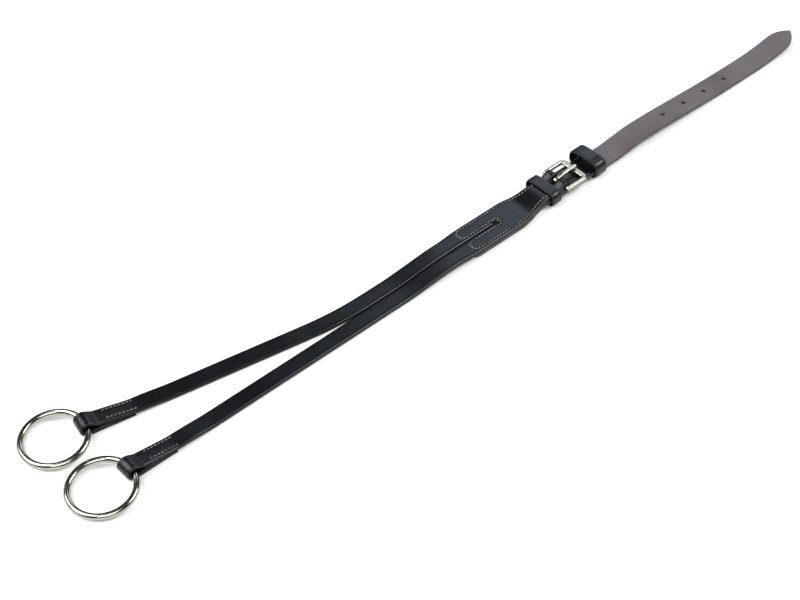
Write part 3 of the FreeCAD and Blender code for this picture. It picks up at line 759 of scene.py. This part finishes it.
def safe_run():
    """The safe's middle line, and half the safe's width."""
    low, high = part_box("buckle_safe")
    x = np.append(np.arange(low.x, high.x, LINE_STEP), high.x)
    z = np.full(len(x), (low.z + high.z) / 2)
    return Run(upright(np.stack([x, z], 1)), (0, 1, 0), high.z - low.z), high.y


def branch_plan(side, sizes, ring, splay):
    """A branch's way in the plan, and the distance along it at each of its points."""
    y = side * (sizes.branch_width + sizes.slit) / 2
    plan = [(sizes.branch_root, y)]
    if splay > LEAST_SPLAY:
        meet_x = ring.x + abs(ring.y - y) / math.tan(splay)
        reach = sizes.parting_reach
        radius = reach / math.tan(splay / 2)
        for turn in np.linspace(0, splay, 24):
            plan.append((meet_x + reach - radius * math.sin(turn),
                         y + side * radius * (1 - math.cos(turn))))
    plan = np.array([*plan, (ring.x, ring.y)])
    return plan, np.r_[0, np.cumsum(np.linalg.norm(np.diff(plan, axis=0), axis=1))]


def branch_run(side, sizes):
    """A branch from the fork to its ring, round the wire and back underneath."""
    name = "left" if side > 0 else "right"
    swing = JOINTS[f"{name}_ring_swing"]
    ring, axis = Vector(swing["pos_m"]), Vector(swing["axis"])
    splay = math.atan2(axis.x, axis.y) * side
    plan, gone = branch_plan(side, sizes, ring, splay)
    total = gone[-1]

    u = np.arange(0, total - sizes.loop_neck, LINE_STEP)
    x = np.interp(u, gone, plan[:, 0])
    drop = smooth_step(x, BRANCH_BEND.x, sizes.branch_rest)
    back = total - sizes.turn_back
    step = smooth_step(u, back - STEP_RISE, back + LINE_STEP)
    low = sizes.lining_thick * (1 - drop) + sizes.turn_end * step
    low = low + sizes.loop_lift * np.clip((u - back) / (total - sizes.loop_neck - back), 0, 1)
    thinned = smooth_step(u, back - THINNING[0], back + THINNING[1])
    thick = sizes.top_thick + (sizes.loop_thick - sizes.top_thick) * thinned
    rows = list(zip(u, low + thick / 2, thick))
    bore = ring.z - sizes.loop_thick
    rows += fold_rows((total, ring.z), bore, sizes.loop_thick, sizes.loop_slope, rows[-1],
                      sizes.loop_thick / 2)
    back_u = np.arange(total - LINE_STEP, back, -LINE_STEP)
    thin = np.interp(total - back_u, (*FILLING, sizes.turn_back),
                     (sizes.loop_thick, sizes.turn_fill, sizes.turn_end))
    rows += list(zip(back_u, thin / 2, thin))
    rows = resampled(rows, CLOSE_STEP, soften=14)

    flat_x = np.interp(rows[:, 0], gone, plan[:, 0])
    flat_y = np.interp(rows[:, 0], gone, plan[:, 1])
    over = np.clip(rows[:, 0] - total, 0, None)
    points = np.stack([flat_x - over * math.cos(splay), flat_y + over * side * math.sin(splay),
                       rows[:, 1]], 1)
    heading = np.gradient(plan, gone + np.arange(len(gone)) * 1e-12, axis=0)
    heading /= np.linalg.norm(heading, axis=1)[:, None]
    mid = np.clip(rows[:, 0], 0, total)
    hx, hy = np.interp(mid, gone, heading[:, 0]), np.interp(mid, gone, heading[:, 1])
    sides = np.stack([-hy, hx, np.zeros(len(rows))], 1)
    return Run(points, sides, rows[:, 2])


# ------------------------------------------------------------------ leather pieces

BLACK = ("black_grain", "flesh_side", "edge_paint")
# branches and keepers: black edge paint on the underside too, for dyed leather and also as painted
# shade inside the ring loops and the keepers' hollows
BLACK_DYED_AND_SHADED = ("black_grain", "edge_paint", "edge_paint")
FLESH_UP = ("flesh_side", "black_grain", "cut_edge")
BILLET = ("flesh_side", "black_grain", "grey_edge")
SLOT_RADIUS = 2.3 * MM
SLOT_START = 6 * MM
SEAM_START, SEAM_END = -44 * MM, 28 * MM
CHAPE_BEND = 22 * MM
HOLES = 4
POINT_ROUND = 1.6 * MM
POINT_CUT = 0.9 * MM
KEEPER_CREASE = 2.8
KEEPER_ROUND = 1.05
KEEPER_POWER = 0.78
KEEPERS = (
    # node, how far the near and the far end bulge, height of the arch
    ("rear_keeper", 0.5 * MM, 2.6 * MM, 0.15 * MM),
    ("front_keeper", 0.5 * MM, 2.6 * MM, 0.5 * MM),
)


def opening(s, centre, radius):
    """Half the width of a round hole at s."""
    inside = radius ** 2 - (s - centre) ** 2
    return math.sqrt(inside) if inside > 0 else 0.0


def slit_gap(s, hole_s, sizes):
    """Half the gap at s of the keyhole and of the slit that ends in it."""
    gap = opening(s, hole_s, sizes.keyhole / 2)
    return max(gap, sizes.slit / 2) if s < hole_s else gap


def make_fork(sizes, metal):
    run = fork_run(sizes, metal)
    hole_s = run.where(sizes.keyhole_x)
    turn_s = run.where(BAR.x - SLOT_START)
    slot_a = turn_s + SLOT_RADIUS
    slot_b = run.end - (BAR.x - SLOT_START - sizes.chape_back) - SLOT_RADIUS

    def bands(s):
        half = float(fork_half(run.x(s), sizes)) if s < turn_s else chape_half()
        gap = SLOT_RADIUS if slot_a < s < slot_b else slit_gap(s, hole_s, sizes)
        gap = max(gap, opening(s, slot_a, SLOT_RADIUS), opening(s, slot_b, SLOT_RADIUS))
        return [(half, gap), (-gap, -half)]

    def groove(s):
        return ((s > run.where(SEAM_START)) & (s < run.where(SEAM_END))).astype(float)

    at = stations(0, run.end, 1.2 * MM, round_stations(hole_s, sizes.keyhole / 2),
                  round_stations(slot_a, SLOT_RADIUS), round_stations(slot_b, SLOT_RADIUS),
                  np.arange(turn_s, turn_s + CHAPE_BEND, 0.5 * MM), run.end - PLAIN_ROWS)
    mesh = leather("fork_leather", run, at, bands, BLACK, sizes, cut=(False, True),
                   groove=groove)
    add_object("fork_leather", mesh, "fork", "black_leather", "fork_strap")


def make_branch(side, sizes):
    name = "left" if side > 0 else "right"
    run = branch_run(side, sizes)
    half = sizes.branch_width / 2
    middle_y = sizes.slit / 2 + half

    def bands(s):
        x = run.x(s)
        outer = float(fork_half(x, sizes)) - middle_y if x > BRANCH_BEND.x else half
        return [(half, -outer) if side > 0 else (outer, -half)]

    seam_a = run.where(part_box(f"{name}_loop_seam_inner")[1].x)

    def groove(s):
        return smooth_step(s, seam_a - 2 * MM, seam_a)

    at = stations(0, run.end, 1.5 * MM,
                  np.arange(seam_a, run.end, 0.6 * MM), run.end - PLAIN_ROWS)
    # underside in black edge paint: dyed, and painted shade inside the ring loop
    mesh = leather(f"{name}_branch_leather", run, at, bands, BLACK_DYED_AND_SHADED, sizes, cut=(False, True),
                   groove=groove)
    piece = add_object(f"{name}_branch_leather", mesh, None, "black_leather",
                       f"{name}_branch_strap")
    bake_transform(piece)


def make_lining(sizes):
    low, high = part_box("lining_strap")
    run = lower_run(sizes, low.x, sizes.billet_root)
    hole_s = run.where(sizes.keyhole_x)
    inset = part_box("fork_strap")[1].y - high.y
    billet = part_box("billet_strap")[1].y

    def bands(s):
        x = run.x(s)
        wide = float(fork_half(x, sizes)) - inset
        half = max(wide, billet) if x < sizes.waist_end else billet
        gap = slit_gap(s, hole_s, sizes)
        radius = (half - gap) / 2
        if s < radius:
            centre = (half + gap) / 2
            reach = opening(s, radius, radius)
            return [(centre + reach, centre - reach), (-centre + reach, -centre - reach)]
        return [(half, gap), (-gap, -half)]

    tongue_r = (high.y - sizes.slit / 2) / 2
    at = stations(0, run.end, 1.4 * MM, round_stations(hole_s, sizes.keyhole / 2),
                  tongue_r * (1 - np.cos(np.linspace(0, math.pi / 2, 18))))
    mesh = leather("lining_leather", run, at, bands, FLESH_UP, sizes, rows=PLAIN_ROWS,
                   crease=0.0)
    add_object("lining_leather", mesh, "fork", "flesh_leather", "lining_strap")


def make_billet(sizes):
    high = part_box("billet_strap")[1]
    run = lower_run(sizes, sizes.billet_root, high.x)
    full = high.y
    holes = [run.where(sizes.hole_first + i * sizes.hole_pitch) for i in range(HOLES)]
    shoulder = run.end - sizes.point
    radius = (sizes.point ** 2 + full ** 2) / (2 * full)

    def bands(s):
        half = full
        if s > shoulder:
            half = full - (radius - math.sqrt(radius ** 2 - (s - shoulder) ** 2))
        if s > run.end - POINT_CUT:
            half = min(half, opening(min(s, run.end), run.end - POINT_ROUND, POINT_ROUND))
        half = max(half, 0.0)
        gap = max(opening(s, centre, sizes.hole / 2) for centre in holes)
        return [(half, min(gap, half)), (-min(gap, half), -half)]

    at = stations(0, run.end, 1.8 * MM, *[round_stations(c, sizes.hole / 2) for c in holes],
                  np.arange(shoulder, run.end, 0.8 * MM), run.end - PLAIN_ROWS)
    mesh = leather("billet_leather", run, at, bands, BILLET, sizes, rows=PLAIN_ROWS,
                   crease=0.0)
    piece = add_object("billet_leather", mesh, None, "flesh_leather", "billet_strap")
    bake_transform(piece)


def make_safe(sizes):
    run, half = safe_run()

    def bands(s):
        from_end = run.end - s
        reach = opening(from_end, half, half) if from_end < half else half
        return [(reach, -reach)]

    nose = half * (1 - np.cos(np.linspace(0, math.pi / 2, 20)))
    at = stations(0, run.end, 1.5 * MM, run.end - nose, PLAIN_ROWS)

    def groove(s):
        return (s > run.end - 2 * half).astype(float)

    mesh = leather("buckle_safe_leather", run, at, bands, BLACK, sizes, cut=(True, False),
                   groove=groove)
    add_object("buckle_safe_leather", mesh, "fork", "black_leather", "buckle_safe")


def make_keeper(node, sizes, near, far, arch):
    """A closed band of leather round the whole stack, with round ends near and far."""
    low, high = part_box(node)
    thick = sizes.keeper_thick
    half, bottom, top = high.y - thick / 2, thick / 2, high.z - thick / 2
    height = top - bottom
    ring = []
    for side, bulge in ((1, far), (-1, near)):
        for turn in np.linspace(-90, 90, 40) * side:
            out, up = math.cos(math.radians(turn)), math.sin(math.radians(turn))
            y = half + bulge - height / 2 * KEEPER_ROUND * (1 - abs(out) ** KEEPER_POWER)
            z = math.copysign(abs(up) ** KEEPER_POWER, up)
            ring.append((side * y, bottom + height / 2 * (1 + z)))
    middle = len(ring) // 2
    crown = [(y, top + arch * math.cos(y / half * math.pi / 2))
             for y in np.linspace(ring[middle - 1][0], ring[middle][0], 16)[1:-1]]
    ring = [(0.0, bottom), *ring[:middle], *crown, *ring[middle:], (0.0, bottom)]
    rows = resampled(ring, 0.35 * MM, 3)
    points = np.stack([np.full(len(rows), (low.x + high.x) / 2), rows[:, 0], rows[:, 1]], 1)
    run = Run(points, (1, 0, 0), thick)
    width = (high.x - low.x) / 2
    at = stations(0, run.end, 0.7 * MM)
    # inside in black edge paint: dyed, and painted shade in the keeper's hollow
    mesh = leather(f"{node}_leather", run, at, lambda s: [(width, -width)], BLACK_DYED_AND_SHADED, sizes,
                   crease=KEEPER_CREASE)
    add_object(f"{node}_leather", mesh, "fork", "black_leather", node)


# ------------------------------------------------------------------ metal pieces

FRAME_ROUND = 1.9 * MM
FRAME_POWER = 2.7
FRAME_THINNER = 0.06
GROWTH = (2 * MM, 4 * MM)
BAR_END = 0.9 * MM
EYE_START, EYE_END = -35, -270
TONGUE_NOSE = 1.5 * MM
TONGUE_TAPER = 0.14
TONGUE_POWER = 2.5
RING_WELD = 0.31
WELD_LENGTH = 0.5 * MM
WELD_HEIGHT = 0.018


def make_buckle_frame(metal):
    low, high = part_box("buckle_frame")
    inside = frame_inside()
    arm_y = inside + metal.frame_side / 2
    far_x = high.x - metal.frame_end / 2
    c = metal.frame_corner
    line = [(low.x, arm_y), (far_x - c, arm_y)]
    line += [tuple(p) for p in circle_points((far_x - c, arm_y - c), c, 90, 0)]
    line += [tuple(p) for p in circle_points((far_x - c, c - arm_y), c, 0, -90)]
    line += [(low.x, -arm_y)]
    rows = resampled(line, 0.4 * MM, soften=8)
    points = np.stack([rows[:, 0], rows[:, 1], np.full(len(rows), BAR.z)], 1)
    forward = np.gradient(points, axis=0)
    sides = np.cross((0, 0, 1), forward)
    sides /= np.linalg.norm(sides, axis=1)[:, None]
    run = Run(points, -sides, metal.frame_side)
    height = (high.z - low.z) / 2
    corner_a = far_x - c - low.x

    def grown(s):
        from_arm = min(s, run.end - s)
        return float(smooth_step(from_arm, corner_a - GROWTH[0], corner_a + GROWTH[1]))

    def end(s):
        return fullness(min(s, run.end - s), FRAME_ROUND, least=0.02)

    def half_width(s):
        swell = (metal.frame_side + (metal.frame_end - metal.frame_side) * grown(s)) / 2
        return swell * end(s)

    def half_height(s):
        return height * (1 - FRAME_THINNER * grown(s)) * end(s)

    tips = np.linspace(0, FRAME_ROUND, 9)
    at = stations(0, run.end, 0.5 * MM, tips, run.end - tips)
    mesh = bar("buckle_frame_metal", run, at, half_width, half_height, ("nickel",),
               power=FRAME_POWER)
    add_object("buckle_frame_metal", mesh, "buckle", "nickel_steel", "buckle_frame")

    reach = arm_y + BAR_END
    y = np.linspace(-reach, reach, 60)
    pin = Run(np.stack([np.full(60, BAR.x), y, np.full(60, BAR.z)], 1), (1, 0, 0), metal.bar_dia)
    radius = metal.bar_dia / 2
    mesh = bar("buckle_bar_metal", pin, stations(0, pin.end, 0.8 * MM),
               lambda s: radius, lambda s: radius, ("nickel",))
    add_object("buckle_bar_metal", mesh, "buckle", "nickel_steel", "buckle_frame")


def make_tongue(metal):
    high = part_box("buckle_tongue")[1]
    eye = metal.bar_dia / 2 + metal.bar_play + metal.tongue_eye / 2
    level = high.z - metal.tongue_thick / 2
    rows = [(x, z, metal.tongue_eye) for x, z in
            circle_points((BAR.x, BAR.z), eye, EYE_START, EYE_END)]
    for share_up in np.linspace(0.08, 1, 14):
        x = BAR.x + metal.tongue_rise * share_up
        z = BAR.z + eye + (level - BAR.z - eye) * share_up
        grow = float(smooth_step(share_up, 0, 0.7))
        rows.append((x, z, metal.tongue_eye + (metal.tongue_thick - metal.tongue_eye) * grow))
    end_x = high.x - metal.tongue_short
    for x in np.linspace(BAR.x + metal.tongue_rise + LINE_STEP, end_x, 12):
        rows.append((x, level, metal.tongue_thick))
    rows = resampled(rows, CLOSE_STEP, soften=10)
    run = Run(upright(rows), (0, 1, 0), rows[:, 2])

    def tip(s):
        return fullness(run.end - s, TONGUE_NOSE, least=0.03)

    def half_width(s):
        taper = 1 - TONGUE_TAPER * float(smooth_step(s, run.end * 0.55, run.end))
        return high.y * taper * tip(s)

    def half_height(s):
        return float(run.thick(s)) / 2 * tip(s)

    at = stations(0, run.end, 0.5 * MM, run.end - np.linspace(0, TONGUE_NOSE, 10))
    mesh = bar("buckle_tongue_metal", run, at, half_width, half_height, ("nickel",),
               power=TONGUE_POWER)
    add_object("buckle_tongue_metal", mesh, "tongue", "nickel_steel", "buckle_tongue")


def make_ring(name, metal):
    node, mount = f"{name}_ring", MOUNTS[f"{name}_rein_ring"]
    centre, normal = Vector(mount["pos_m"]), Vector(mount["axis"]).normalized()
    low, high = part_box(node)
    radius = (high.y - low.y) / 2 - metal.ring_wire / 2
    across = Vector((0, 1, 0)).cross(normal).normalized()
    along = normal.cross(across)
    turn = np.linspace(0, 2 * math.pi, 145)
    arms = [across * math.cos(t) + along * math.sin(t) for t in turn]
    points = [centre + arm * radius for arm in arms]
    run = Run(points, [tuple(arm) for arm in arms], metal.ring_wire)
    run.ups = np.broadcast_to(np.array(normal), run.points.shape)
    wire = metal.ring_wire / 2
    weld = run.end * RING_WELD

    def half(s):
        bead = math.exp(-((s - weld) / WELD_LENGTH) ** 2)
        return wire * (1 + WELD_HEIGHT * bead)

    at = stations(0, run.end, 1.0 * MM, weld + np.linspace(-1.2, 1.2, 9) * MM)
    mesh = bar(f"{name}_ring_metal", run, at, half, half, ("steel",), around=32, closed=True)
    add_object(f"{name}_ring_metal", mesh, f"{name}_rein_ring", "ring_steel", node)


# ------------------------------------------------------------------ stitching

def stitch_points(route, pitch):
    """Awl holes at even distances along a flat route."""
    route = np.asarray(route, float)
    along = np.r_[0, np.cumsum(np.linalg.norm(np.diff(route, axis=0), axis=1))]
    count = max(2, int(round(along[-1] / pitch)) + 1)
    at = np.linspace(0, along[-1], count)
    return np.stack([np.interp(at, along, route[:, 0]), np.interp(at, along, route[:, 1])], 1)


THREAD_SIDES, THREAD_RINGS = 8, 9
STITCH_START, STITCH_END = 0.15, 0.85
STITCH_TIP = 0.45
STITCH_FLAT = 0.8
# rings of the painted-shade patch at each awl hole: mm out from the hole, mm up from the leather
HOLE_SHADE_RINGS = ((0.68, -0.06), (0.6, 0.04), (0.25, 0.055))
SUNK = 0.1 * MM
SUNK_UNDER = 0.42 * MM


def thread_mesh(name, jobs, sizes):
    """Stitches that rise out of one awl hole and dip into the next, and a patch of painted shade
    at each hole.
    """
    points, faces, marks = [], [], []
    turn = np.linspace(0, 2 * math.pi, THREAD_SIDES, endpoint=False)
    radius = sizes.thread / 2

    def add_tube(tube, mark):
        rings = len(tube) // THREAD_SIDES
        added = tube_faces(len(points), rings, THREAD_SIDES)
        added += cap_faces(len(points), rings, THREAD_SIDES)
        points.extend(tube)
        faces.extend(added)
        marks.extend([mark] * len(added))

    for run, holes, face_sign, sunk in jobs:
        def surface(s, n, z):
            level = face_sign * (run.thick(s) / 2 - sunk)
            return run.place(np.array([s]), n, level + face_sign * z)[0]

        for a, b in zip(holes, holes[1:]):
            line = []
            for share_along in np.linspace(0, 1, THREAD_RINGS):
                s, n = a + (b - a) * (STITCH_START + (STITCH_END - STITCH_START) * share_along)
                arc = max(0.0, math.sin(math.pi * share_along))
                line.append(surface(s, n, radius * (1.5 * arc ** 0.6 - 0.9)))
            line = np.array(line)
            forward = np.gradient(line, axis=0)
            forward /= np.linalg.norm(forward, axis=1)[:, None]
            up = surface(*a, 1.0) - surface(*a, 0.0)
            side = np.cross(forward, up)
            side /= np.linalg.norm(side, axis=1)[:, None]
            lifted = np.cross(side, forward)
            tube = []
            for k in range(THREAD_RINGS):
                full = radius * (1 if 0 < k < THREAD_RINGS - 1 else STITCH_TIP)
                tube += [line[k] + full * (side[k] * math.cos(angle)
                                           + lifted[k] * math.sin(angle) * STITCH_FLAT)
                         for angle in turn]
            add_tube(tube, 0)
        # a matt near-black patch at each awl hole: painted shade of the hole's recess
        for s, n in holes:
            add_tube([surface(s + width * MM * math.cos(angle),
                              n + width * MM * math.sin(angle), height * MM)
                      for width, height in HOLE_SHADE_RINGS for angle in turn], 1)
    return build_mesh(name, points, faces, marks, ("waxed_thread", "awl_hole"))


def fork_route(run, side, sizes):
    """Flat route of one half's stitching: edge, round the lining tongue, slit, keyhole."""
    margin = sizes.stitch_in
    inner = sizes.slit / 2 + margin
    turn_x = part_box("lining_strap")[0].x
    outer = float(fork_half(turn_x + 8 * MM, sizes)) - margin
    radius = (outer - inner) / 2
    turn_x += radius + margin
    route = []
    for x in np.arange(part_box("rear_keeper")[0].x, turn_x, -LINE_STEP):
        route.append((run.where(x), float(fork_half(x, sizes)) - margin))
    for angle in np.linspace(90, 270, 16):
        a = math.radians(angle)
        route.append((run.where(turn_x) + radius * math.cos(a) * 0.8,
                      (outer + inner) / 2 + radius * math.sin(a)))
    hole_s = run.where(sizes.keyhole_x)
    eye = sizes.keyhole / 2 + margin * 0.8
    stop = hole_s - math.sqrt(eye ** 2 - inner ** 2)
    for s in np.arange(run.where(turn_x) + LINE_STEP, stop, LINE_STEP):
        route.append((s, inner))
    start = math.atan2(inner, stop - hole_s)
    for a in np.linspace(start, 0.0, 9):
        route.append((hole_s + eye * math.cos(a), eye * math.sin(a)))
    return [(s, side * n) for s, n in route]


def make_fork_seams(sizes, metal):
    top = fork_run(sizes, metal)
    low_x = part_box("lining_strap")[0].x
    under = lower_run(sizes, low_x, sizes.billet_root)
    for name, side in (("left", 1), ("right", -1)):
        holes = stitch_points(fork_route(top, side, sizes), sizes.stitch_pitch)
        back = stitch_points(fork_route(under, side, sizes), sizes.stitch_pitch)
        jobs = [(top, holes, 1, SUNK), (under, back, -1, SUNK_UNDER)]
        mesh = thread_mesh(f"{name}_fork_stitches", jobs, sizes)
        add_object(f"{name}_fork_stitches", mesh, "fork", "linen_thread", f"{name}_fork_seam")


LOOP_WAY = 2 * math.pi * 4.4 * MM * 0.6
LOOP_TO_SEAM = 9.5 * MM
SEAM_LENGTH = 22 * MM
BACK_SEAM = (7.5 * MM, 2.5 * MM)


def make_loop_seams(sizes):
    for name, side in (("left", 1), ("right", -1)):
        run = branch_run(side, sizes)
        bottom = run.end - sizes.turn_back
        top_end = bottom - LOOP_WAY - LOOP_TO_SEAM
        for row, sign in (("outer", -side), ("inner", side)):
            n = sign * (sizes.branch_width / 2 - sizes.stitch_in)
            top = stitch_points([(top_end - SEAM_LENGTH, n), (top_end, n)], sizes.stitch_pitch)
            back = stitch_points([(bottom + BACK_SEAM[0], n), (run.end - BACK_SEAM[1], n)],
                                 sizes.stitch_pitch)
            jobs = [(run, top, 1, SUNK), (run, back, 1, SUNK_UNDER)]
            mesh = thread_mesh(f"{name}_loop_stitches_{row}", jobs, sizes)
            add_object(f"{name}_loop_stitches_{row}", mesh, f"{name}_branch", "linen_thread",
                       f"{name}_loop_seam_{row}")


def make_safe_seam(sizes):
    run, half = safe_run()
    radius = half - sizes.stitch_in
    turn = np.radians(np.linspace(-80, 80, 30))
    route = [(run.end - half + radius * math.cos(a), radius * math.sin(a)) for a in turn]
    holes = stitch_points(route, sizes.stitch_pitch)
    mesh = thread_mesh("safe_stitches", [(run, holes, 1, SUNK)], sizes)
    add_object("safe_stitches", mesh, "fork", "linen_thread", "safe_seam")


# ------------------------------------------------------------------ stage

def area_light(name, place, aim, width, height, power, tint):
    lamp = bpy.data.lights.new(name, "AREA")
    lamp.shape = "RECTANGLE"
    lamp.size, lamp.size_y = width, height
    lamp.energy = power
    lamp.color = tint
    item = bpy.data.objects.new(name, lamp)
    item.location = place
    item.rotation_euler = (Vector(aim) - Vector(place)).to_track_quat("-Z", "Y").to_euler()
    bpy.context.scene.collection.objects.link(item)


FLOOR_HALF = 6.0
FLOOR_GAP = 0.05 * MM
SOFTBOXES = (
    # name, its Studio property, place, what it points at, width, height, tint
    ("key_softbox", "key", (-1.3, 1.0, 1.7), (-0.05, 0.0, 0.0), 1.8, 1.8, (1, 1, 1)),
    ("right_softbox", "fill", (1.1, -0.8, 1.6), (0.0, 0.0, 0.0), 1.0, 1.0, (1, 1, 1)),
    ("near_softbox", "near", (-1.0, -1.0, 1.7), (0.0, 0.0, 0.0), 1.4, 1.4, (1, 1, 1)),
    ("far_softbox", "rim", (1.1, 0.82, 1.12), (0.1, 0.0, 0.0), 0.7, 0.95, (0.72, 0.87, 1.0)),
)


def make_stage(studio):
    """Pale floor, soft light and the camera."""
    half = FLOOR_HALF
    floor = bpy.data.meshes.new("floor")
    z = CAD_BOX[0][2] - FLOOR_GAP
    floor.from_pydata([(-half, -half, z), (half, -half, z), (half, half, z), (-half, half, z)],
                      [], [(0, 1, 2, 3)])
    f = Finish("studio_floor", Specular_IOR_Level=0.2)
    paper = f.noise(60, 3)
    floor.materials.append(f.feed(
        Base_Color=f.mix(paper, (0.93, 0.93, 0.93), (0.95, 0.95, 0.945)),
        Roughness=0.75 + paper * 0.1))
    ground = bpy.data.objects.new("floor", floor)
    bpy.context.scene.collection.objects.link(ground)

    world = bpy.data.worlds.new("studio")
    bpy.context.scene.world = world
    world.use_nodes = True
    sky = world.node_tree.nodes["Background"].inputs
    sky["Color"].default_value = (0.96, 0.98, 1, 1)
    sky["Strength"].default_value = studio.ambient
    for name, watts, place, aim, width, height, tint in SOFTBOXES:
        area_light(name, place, aim, width, height, getattr(studio, watts), tint)

    camera = bpy.data.objects.new("camera", bpy.data.cameras.new("camera"))
    camera.data.lens = studio.lens
    back = Vector((math.sin(studio.azimuth) * math.cos(studio.elevation),
                   -math.cos(studio.azimuth) * math.cos(studio.elevation),
                   math.sin(studio.elevation)))
    aim = Vector((studio.aim_x, studio.aim_y, 0))
    camera.location = aim + back * studio.distance
    level = (-back).to_track_quat("-Z", "Y")
    camera.rotation_euler = (level @ Quaternion((0, 0, 1), studio.roll)).to_euler()
    bpy.context.scene.collection.objects.link(camera)
    bpy.context.scene.camera = camera
    bpy.context.scene.view_settings.view_transform = "Standard"


# ------------------------------------------------------------------ operators and panel

class MARTINGALE_OT_top_leather(bpy.types.Operator):
    """Make the fork's top leather and both branches"""
    bl_idname = "martingale.top_leather"
    bl_label = "Fork and branches"

    def execute(self, context):
        sizes = context.scene.martingale_sizes
        make_fork(sizes, context.scene.martingale_metal)
        for side in (1, -1):
            make_branch(side, sizes)
        return {"FINISHED"}


class MARTINGALE_OT_lower_leather(bpy.types.Operator):
    """Make the lining, the billet and the safe"""
    bl_idname = "martingale.lower_leather"
    bl_label = "Lining, billet and safe"

    def execute(self, context):
        sizes = context.scene.martingale_sizes
        make_lining(sizes)
        make_billet(sizes)
        make_safe(sizes)
        return {"FINISHED"}


class MARTINGALE_OT_keepers(bpy.types.Operator):
    """Make the two keepers"""
    bl_idname = "martingale.keepers"
    bl_label = "Keepers"

    def execute(self, context):
        sizes = context.scene.martingale_sizes
        for node, near, far, arch in KEEPERS:
            make_keeper(node, sizes, near, far, arch)
        return {"FINISHED"}


class MARTINGALE_OT_buckle(bpy.types.Operator):
    """Make the buckle's frame, bar and tongue"""
    bl_idname = "martingale.buckle"
    bl_label = "Buckle"

    def execute(self, context):
        make_buckle_frame(context.scene.martingale_metal)
        make_tongue(context.scene.martingale_metal)
        return {"FINISHED"}


class MARTINGALE_OT_rings(bpy.types.Operator):
    """Make the two rein rings"""
    bl_idname = "martingale.rings"
    bl_label = "Rings"

    def execute(self, context):
        for name in ("left", "right"):
            make_ring(name, context.scene.martingale_metal)
        return {"FINISHED"}


class MARTINGALE_OT_stitching(bpy.types.Operator):
    """Make every row of stitches"""
    bl_idname = "martingale.stitching"
    bl_label = "Stitching"

    def execute(self, context):
        sizes = context.scene.martingale_sizes
        make_fork_seams(sizes, context.scene.martingale_metal)
        make_loop_seams(sizes)
        make_safe_seam(sizes)
        return {"FINISHED"}


class MARTINGALE_OT_stage(bpy.types.Operator):
    """Make the floor, the light and the camera"""
    bl_idname = "martingale.stage"
    bl_label = "Stage"

    def execute(self, context):
        make_stage(context.scene.martingale_studio)
        return {"FINISHED"}


OPERATORS = (
    MARTINGALE_OT_stage,
    MARTINGALE_OT_top_leather,
    MARTINGALE_OT_lower_leather,
    MARTINGALE_OT_keepers,
    MARTINGALE_OT_buckle,
    MARTINGALE_OT_rings,
    MARTINGALE_OT_stitching,
)


class MARTINGALE_PT_panel(bpy.types.Panel):
    """Lists the pieces of the martingale"""
    bl_label = "Martingale"
    bl_idname = "MARTINGALE_PT_panel"
    bl_space_type = "VIEW_3D"
    bl_region_type = "UI"
    bl_category = "Martingale"

    def draw(self, context):
        for operator in OPERATORS:
            self.layout.operator(operator.bl_idname)
        for group in GROUPS:
            settings = getattr(context.scene, f"martingale_{group}")
            box = self.layout.box()
            for name in settings.__annotations__:
                box.prop(settings, name)


GROUPS = {"sizes": StrapSizes, "metal": MetalSizes, "finishes": Finishes, "studio": Studio}
CLASSES = (*GROUPS.values(), *OPERATORS, MARTINGALE_PT_panel)


def register():
    for one in CLASSES:
        bpy.utils.register_class(one)
    for group, kind in GROUPS.items():
        setattr(bpy.types.Scene, f"martingale_{group}", PointerProperty(type=kind))


def unregister():
    for group in GROUPS:
        delattr(bpy.types.Scene, f"martingale_{group}")
    for one in reversed(CLASSES):
        bpy.utils.unregister_class(one)


def main():
    register()
    for operator in OPERATORS:
        group, name = operator.bl_idname.split(".")
        getattr(getattr(bpy.ops, group), name)()


if __name__ == "__main__":
    main()
